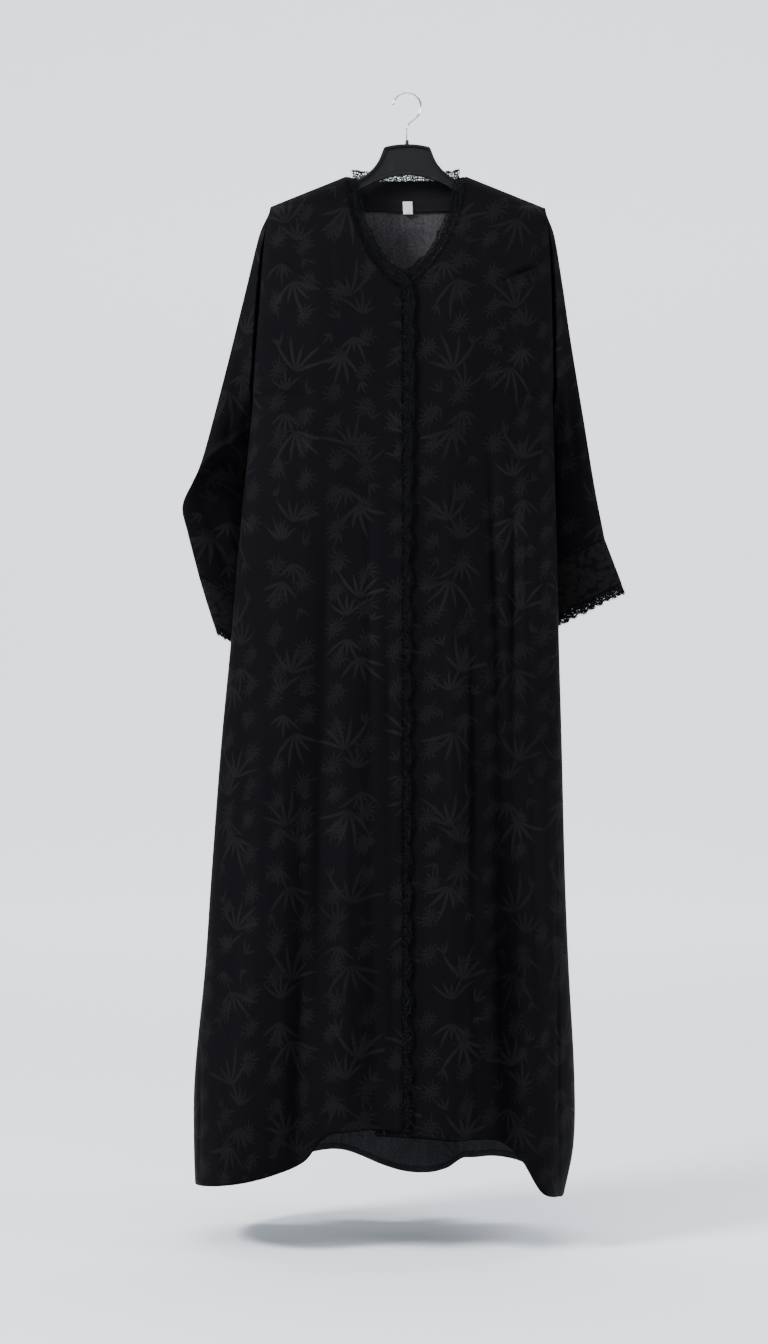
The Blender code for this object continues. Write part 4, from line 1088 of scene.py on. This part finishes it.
def make_body(cloth):
    """The two fronts and the back."""
    for side, start, width, area in (("right", 0.520, 0.350, 0.385), ("left", 0.566, 0.330, 0.370)):

        def point(u, v):
            return front_point(side, u * (NECK_COLUMNS + SIDE_COLUMNS), v**ROW_POWER)

        name = f"front_{side}"
        origin = (start, 2.02)
        front = cloth_sheet(f"{name}_cloth", name, FRONT_GRID, point, cloth, toward_front, origin, flat=body_flat)

    def point(u, v):
        return back_point(2.0 * u - 1.0, v**ROW_POWER)

    back = cloth_sheet("back_cloth", "back", BACK_GRID, point, cloth, toward_back, (0.83, 2.05), flat=body_flat)


def make_sleeves(cloth, cuff_cloth):
    """Both sleeves with their cuffs."""
    for side, sleeve, cuff, creases, length, area, cuff_round, lean, round_way in (
        ("right", RIGHT_SLEEVE, RIGHT_CUFF, SLEEVE_RIGHT_CREASES, 0.560, 0.105, 0.285, 0.18, -0.8),
        ("left", LEFT_SLEEVE, LEFT_CUFF, SLEEVE_LEFT_CREASES, 0.500, 0.085, 0.310, -0.13, 0.8),
    ):
        middle_x, middle_y = (sum(ring.outer[k] + ring.inner[k] for ring in sleeve[4:7]) / 6 for k in (0, 1))

        def away(place):
            return Vector((place.x - middle_x, place.y - middle_y, 0.0))

        def on_cloth(place):
            return place.x - lean * place.z + round_way * place.y, place.z + lean * place.x

        def arm_point(u, v):
            return ring_point(sleeve, v, u * TURN, creases)

        def cuff_point(u, v):
            return ring_point(cuff, v, u * TURN)

        for name, grid, point, look, origin in (
            (f"sleeve_{side}", SLEEVE_GRID, arm_point, cloth, (0.61, 2.33)),
            (f"cuff_{side}", CUFF_GRID, cuff_point, cuff_cloth, (0.64, 2.10)),
        ):
            cloth_sheet(f"{name}_cloth", name, grid, point, look, away, origin, True, on_cloth)


def make_cuff_lace(lace, thread):
    """Eyelash lace round both cuffs: a net strip in two halves with clumps of lashes."""
    dice = random.Random(41)
    for side, cuff in (("right", RIGHT_CUFF), ("left", LEFT_CUFF)):
        for half, start, origin, outward in (
            ("front", 0.0, (0.0, 0.3), toward_front),
            ("back", math.pi, (0.4, 0.3), toward_back),
        ):

            def point(u, v):
                around = start + math.pi * (0.012 + 0.976 * u)
                end, before = (Vector(ring_point(cuff, along, around)) for along in (1.0, 0.9))
                wave = 1.0 - 0.25 * (1.0 - abs(math.sin(around * 17.0)))
                reach = CUFF_LACE_SEAM * (2.0 * v - 1.0) + CUFF_LACE_STRIP * v * (wave if v > 0.5 else 1.0)
                place = end + (end - before).normalized() * reach
                return Vector((place.x, clear_of_back(place.x, place.y, place.z, 0.0), place.z))

            name = f"{side}_{half}"
            band = cloth_sheet(f"cuff_lace_{name}", f"lace_cuff_{name}", (120, 8), point, lace, outward, origin)
            strands = lashes(lace_edge(point, 120, 0.75), 900, CUFF_LASH, 1.1, dice)
            fringe = strand_mesh(f"cuff_lashes_{name}", thread, strands, CUFF_LASH_RADIUS)


def inner_fuzz(side, places, count, dice):
    """Short threads that lie over the cloth along the lace's sewn edge."""
    strands = []
    neck_share = sum(1 for place in places if place[2]) / len(places)
    for index in range(count):
        v = dice.random() * (neck_share if index % 3 or side == "left" else 1.0)
        root = front_lace_point(side, places, 0.20, v)
        tip = front_lace_point(side, places, -0.10 - 0.38 * dice.random() ** 2, v)
        shift = Vector(((dice.random() - 0.5) * 0.004, -0.0011, (dice.random() - 0.5) * 0.006))
        strands.append((root + shift * 0.4 + Vector((0, -0.0007, 0)), root.lerp(tip, 0.5) + shift, tip + shift))
    return strands


def make_front_lace(lace, thread):
    """The lace along each front's neck and edge, with its tiny lashes."""
    dice = random.Random(17)
    for side, steps, down_count, fuzz_count in (("right", 520, 1500, 1500), ("left", 320, 300, 900)):
        places = lace_route(side, steps)

        def point(u, v):
            return front_lace_point(side, places, u, v)

        band = cloth_sheet(f"front_lace_{side}", f"lace_front_{side}", (8, steps), point, lace, toward_front)
        edge = lace_edge(lambda along, out: point(out, along), steps, 1.0, 2)
        strands = lashes(edge[: steps // 8], 1300, 0.0080, 0.9, dice)
        strands += lashes(edge[steps // 8 :], down_count, 0.0040, 0.7, dice)
        strands += inner_fuzz(side, places, fuzz_count, dice)
        fringe = strand_mesh(f"front_lashes_{side}", thread, strands, FRONT_LASH_RADIUS)


def make_back_neck_lace(lace, thread):
    """The lace that stands on the back neck, with taller tufts at both ends."""
    dice = random.Random(29)

    def point(u, v):
        x = CENTRE_X + BACK_LACE_HALF * (2.0 * u - 1.0)
        base = back_neck(abs(x - CENTRE_X) / SHOULDER_NECK[0])
        wave = 1.0 - 0.16 * (1.0 - abs(math.sin(u * 34.0)))
        z = base + LACE_SEAM * (2.0 * v - 1.0) + BACK_LACE_HEIGHT * v * wave
        return Vector((x, body_depth("back", x, base) + 0.1 * BACK_LACE_HEIGHT * v, z))

    def hanging_point(u, v):
        return point(u, 1.0 - v)

    band = cloth_sheet("back_neck_lace", "lace_neck_back", (160, 8), hanging_point, lace, toward_back, (0.0, 0.6))
    edge = lace_edge(point, 120, 0.8, along_edge=Vector((1.0, 0.0, 0.0)))
    strands = lashes(edge, 420, 0.0060, 0.7, dice)
    for tuft in (edge[:16], edge[-16:]):
        strands += lashes(tuft, 150, 0.0075, 0.9, dice)
    fringe = strand_mesh("back_neck_lashes", thread, strands, NECK_LASH_RADIUS)


def make_facing_and_label():
    """The facing inside the back neck and the blank label sewn to it."""

    def facing_point(u, v):
        x = CENTRE_X + FACING_HALF_WIDTH * (2.0 * u - 1.0)
        top = BACK_NECK_Z - FACING_TOP_GAP
        z = top + (FACING_BOTTOM_Z - top) * v + 0.0008 * math.sin(9.0 * u) * v
        return x, body_depth("back", x, z) - FACING_STEP, z

    def label_point(u, v):
        x = LABEL_TOP[0] + LABEL_SIZE[0] * u + LABEL_SKEW * LABEL_SIZE[1] * v
        z = LABEL_TOP[1] - LABEL_SIZE[1] * v
        curl = 0.0007 * math.sin(math.pi * u) * v + 0.0006 * v * v
        return x, body_depth("back", x, z) - FACING_STEP - LABEL_STEP - curl, z

    plain = Look(CLOTH, "black_facing", [facing_finish("facing_cloth")])
    satin = Look(LABEL_THICKNESS, "white_label", [label_finish("label_satin")])
    facing = cloth_sheet("neck_facing_cloth", "neck_facing", (70, 26), facing_point, plain, toward_front)
    label = cloth_sheet("blank_label", "label", (16, 20), label_point, satin, toward_front)


def hanger_outline():
    """Half of the hanger's outline, from the top's centre round the arm to the arch's centre."""
    seat_z = shoulder_line(ARM_SEAT_X) - HANGER_ARM_DROP
    tip_top = shoulder_line(HANGER_TIP_X) - HANGER_ARM_DROP
    points = [(0.0, HANGER_TOP_Z), *HANGER_PLATE_SIDE]
    points += [(ARM_BEND_X, (HANGER_PLATE_SIDE[-1].z + seat_z) / 2 - 0.0004), (ARM_SEAT_X, seat_z)]
    points += [(HANGER_TIP_X - inward, tip_top + rise) for inward, rise in HANGER_TIP_ROUND]
    points += HANGER_ARM_UNDER
    arch_x, arch_z = ARCH_END
    for step in range(14):
        share = 1.0 - step / 14
        points.append((arch_x * share, ARCH_TOP_Z + (arch_z - ARCH_TOP_Z) * share**ARCH_POWER))
    return points + [(0.0, ARCH_TOP_Z)]


def make_hanger():
    """The moulded hanger: a rim all round and a sunk web on both faces."""
    half = hanger_outline()
    outline = half + [(-x, z) for x, z in reversed(half[1:-1])]
    bm = bmesh.new()
    front, back = ([bm.verts.new((x, y, z)) for x, z in outline] for y in (-HANGER_HALF, HANGER_HALF))
    faces = [bm.faces.new(front), bm.faces.new(back[::-1])]
    for k in range(len(outline)):
        n = (k + 1) % len(outline)
        bm.faces.new((front[n], front[k], back[k], back[n]))
    bmesh.ops.recalc_face_normals(bm, faces=bm.faces)
    for face in faces:
        for wide, deep in ((HANGER_RIM, 0.0), (0.0007, -HANGER_RECESS)):
            bmesh.ops.inset_region(bm, faces=[face], thickness=wide, depth=deep, use_even_offset=True)
    bmesh.ops.triangulate(bm, faces=[face for face in bm.faces if len(face.verts) > 4])
    plastic = plastic_finish("hanger_plastic", 0.40)
    made = finished_object("hanger_moulding", mesh_from(bm, "hanger_moulding"), "black_plastic", plastic)
    edges = made.modifiers.new("edges", "BEVEL")
    edges.width = 0.0009
    edges.segments = 3
    edges.limit_method = "ANGLE"
    edges.angle_limit = math.radians(35.0)
    edges.harden_normals = True
    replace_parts(made, "hanger_body")


def hook_route():
    """The wire's centre line from its ball end over the crown and down the shaft."""
    centre_z = HOOK_WIRE_RADIUS - HOOK_CROWN_RADIUS
    points = []
    for step in range(41):
        turn = HOOK_END_TURN + (HOOK_LEAVE_TURN - HOOK_END_TURN) * step / 40
        points.append((HOOK_CROWN_RADIUS * math.cos(turn), centre_z + HOOK_CROWN_RADIUS * math.sin(turn)))
    start_x, start_z = points[-1]
    drop = start_z - HOOK_SHAFT_TOP_Z
    for step in range(1, 17):
        t = step / 16
        bend = (1.0 - t) ** 2
        x = start_x * bend * (1.0 + 2.0 * t) - drop * HOOK_LEAVE_SLOPE * t * bend
        points.append((x, start_z - drop * t))
    return points + [(0.0, HANGER_TOP_Z - SOCKET_DEPTH)]


def turned_mesh(name, profile, segments):
    """A turned form about the Z axis from a profile of radius and height."""
    points = []
    for radius, z in profile:
        for k in range(segments):
            turn = 2 * math.pi * k / segments
            points.append((radius * math.cos(turn), radius * math.sin(turn), z))
    faces = []
    for low in range(0, len(points) - segments, segments):
        for k in range(segments):
            n = (k + 1) % segments
            faces.append((low + k, low + n, low + segments + n, low + segments + k))
    return new_mesh(name, points, faces)


def make_hook():
    """The wire hook with its ball end, and the collar round its foot."""
    route = hook_route()
    curve = bpy.data.curves.new("hook_wire", "CURVE")
    curve.dimensions = "3D"
    curve.bevel_depth = HOOK_WIRE_RADIUS
    curve.bevel_resolution = 6
    curve.use_fill_caps = True
    spline = curve.splines.new("POLY")
    spline.points.add(len(route) - 1)
    for point, (x, z) in zip(spline.points, route):
        point.co = (x, 0.0, z, 1.0)
    drawn = add_object("hook_drawn", curve)
    bpy.context.view_layer.update()
    evaluated = drawn.evaluated_get(bpy.context.evaluated_depsgraph_get())
    bm = bmesh.new()
    bm.from_mesh(evaluated.to_mesh())
    evaluated.to_mesh_clear()
    bpy.data.objects.remove(drawn)
    end = Vector((route[0][0], 0.0, route[0][1]))
    ball = bmesh.ops.create_icosphere(bm, subdivisions=3, radius=HOOK_END_BALL)
    for vertex in ball["verts"]:
        vertex.co += end
    chrome = chrome_finish("chromed_wire_bright")
    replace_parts(finished_object("hook_wire", mesh_from(bm, "hook_wire"), "chromed_wire", chrome), "hanger_hook")
    low = HANGER_TOP_Z - 0.0002
    high = low + COLLAR_HEIGHT
    inner = HOOK_WIRE_RADIUS + 0.0001
    profile = [(inner, low)]
    profile += [(COLLAR_RADIUS + wide, low + up) for wide, up in ((0.0004, 0.0), (0.0004, 0.0010), (0.0, 0.0014))]
    profile += [(COLLAR_RADIUS - 0.0001, high - 0.0008), (COLLAR_RADIUS - 0.0004, high - 0.0001)]
    profile += [(inner, high), (inner, low)]
    mesh = turned_mesh("hook_foot_collar", profile, 32)
    collar = finished_object("hook_foot_collar", mesh, "black_plastic", plastic_finish("collar_plastic", 0.38))
    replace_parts(collar, "hook_collar")


def make_studio():
    """A pale floor that curves up into the backdrop, soft lamps, and the camera."""
    profile = [(-STUDIO_HALF, FLOOR_Z), (BACKDROP_Y - BACKDROP_ROUND, FLOOR_Z)]
    for step in range(1, 17):
        turn = math.pi / 2 * step / 16
        y = BACKDROP_Y - BACKDROP_ROUND + BACKDROP_ROUND * math.sin(turn)
        profile.append((y, FLOOR_Z + BACKDROP_ROUND * (1.0 - math.cos(turn))))
    profile.append((BACKDROP_Y, STUDIO_HALF))
    points = [(x, y, z) for y, z in profile for x in (-STUDIO_HALF, STUDIO_HALF)]
    faces = [(2 * k, 2 * k + 1, 2 * k + 3, 2 * k + 2) for k in range(len(profile) - 1)]
    sweep = add_object("studio_sweep", new_mesh("studio_sweep", points, faces))
    sweep.data.materials.append(studio_finish("studio_paper", PAPER_TONE, PAPER_PAINTED_GLOW))
    world = bpy.data.worlds.new("studio_air")
    world.use_nodes = True
    air = world.node_tree.nodes["Background"].inputs
    air["Color"].default_value = AIR_TONE
    air["Strength"].default_value = AIR_STRENGTH
    bpy.context.scene.world = world
    for lamp in LAMPS:
        light = bpy.data.lights.new(lamp.name, "AREA")
        light.shape = "RECTANGLE"
        light.size, light.size_y = lamp.size
        light.energy = lamp.power
        made = add_object(lamp.name, light)
        made.location = lamp.place
        made.rotation_euler = (Vector(lamp.aim) - Vector(lamp.place)).to_track_quat("-Z", "Y").to_euler()
    camera = bpy.data.cameras.new("photo_camera")
    camera.sensor_fit = "VERTICAL"
    camera.sensor_height = 36.0
    camera.lens = CAMERA_LENS
    camera.clip_end = 50.0
    made = add_object("photo_camera", camera)
    made.location = CAMERA_PLACE
    made.rotation_euler = (math.radians(90.0), 0.0, 0.0)
    bpy.context.scene.camera = made


def build():
    make_studio()
    make_hanger()
    make_hook()
    face, cuff_face = jacquard("jacquard_face"), jacquard("jacquard_cuff", 0.7)
    inside = reverse_side("jacquard_reverse")
    cloth = Look(CLOTH, "black_jacquard", [face, inside])
    lace, cuff_lace, neck_lace = (
        Look(LACE, "black_lace", [lace_finish(*made)])
        for made in (("net_lace", 0.0024, 1.0), ("cuff_net_lace", 0.0046, 0.85, True), ("neck_net_lace", 0.0034, 0.5))
    )
    thread = thread_finish("lash_thread")
    make_body(cloth)
    make_sleeves(cloth, Look(CUFF_CLOTH, "black_jacquard", [cuff_face, inside]))
    make_cuff_lace(cuff_lace, thread)
    make_front_lace(lace, thread)
    make_back_neck_lace(neck_lace, thread)
    make_facing_and_label()


build()
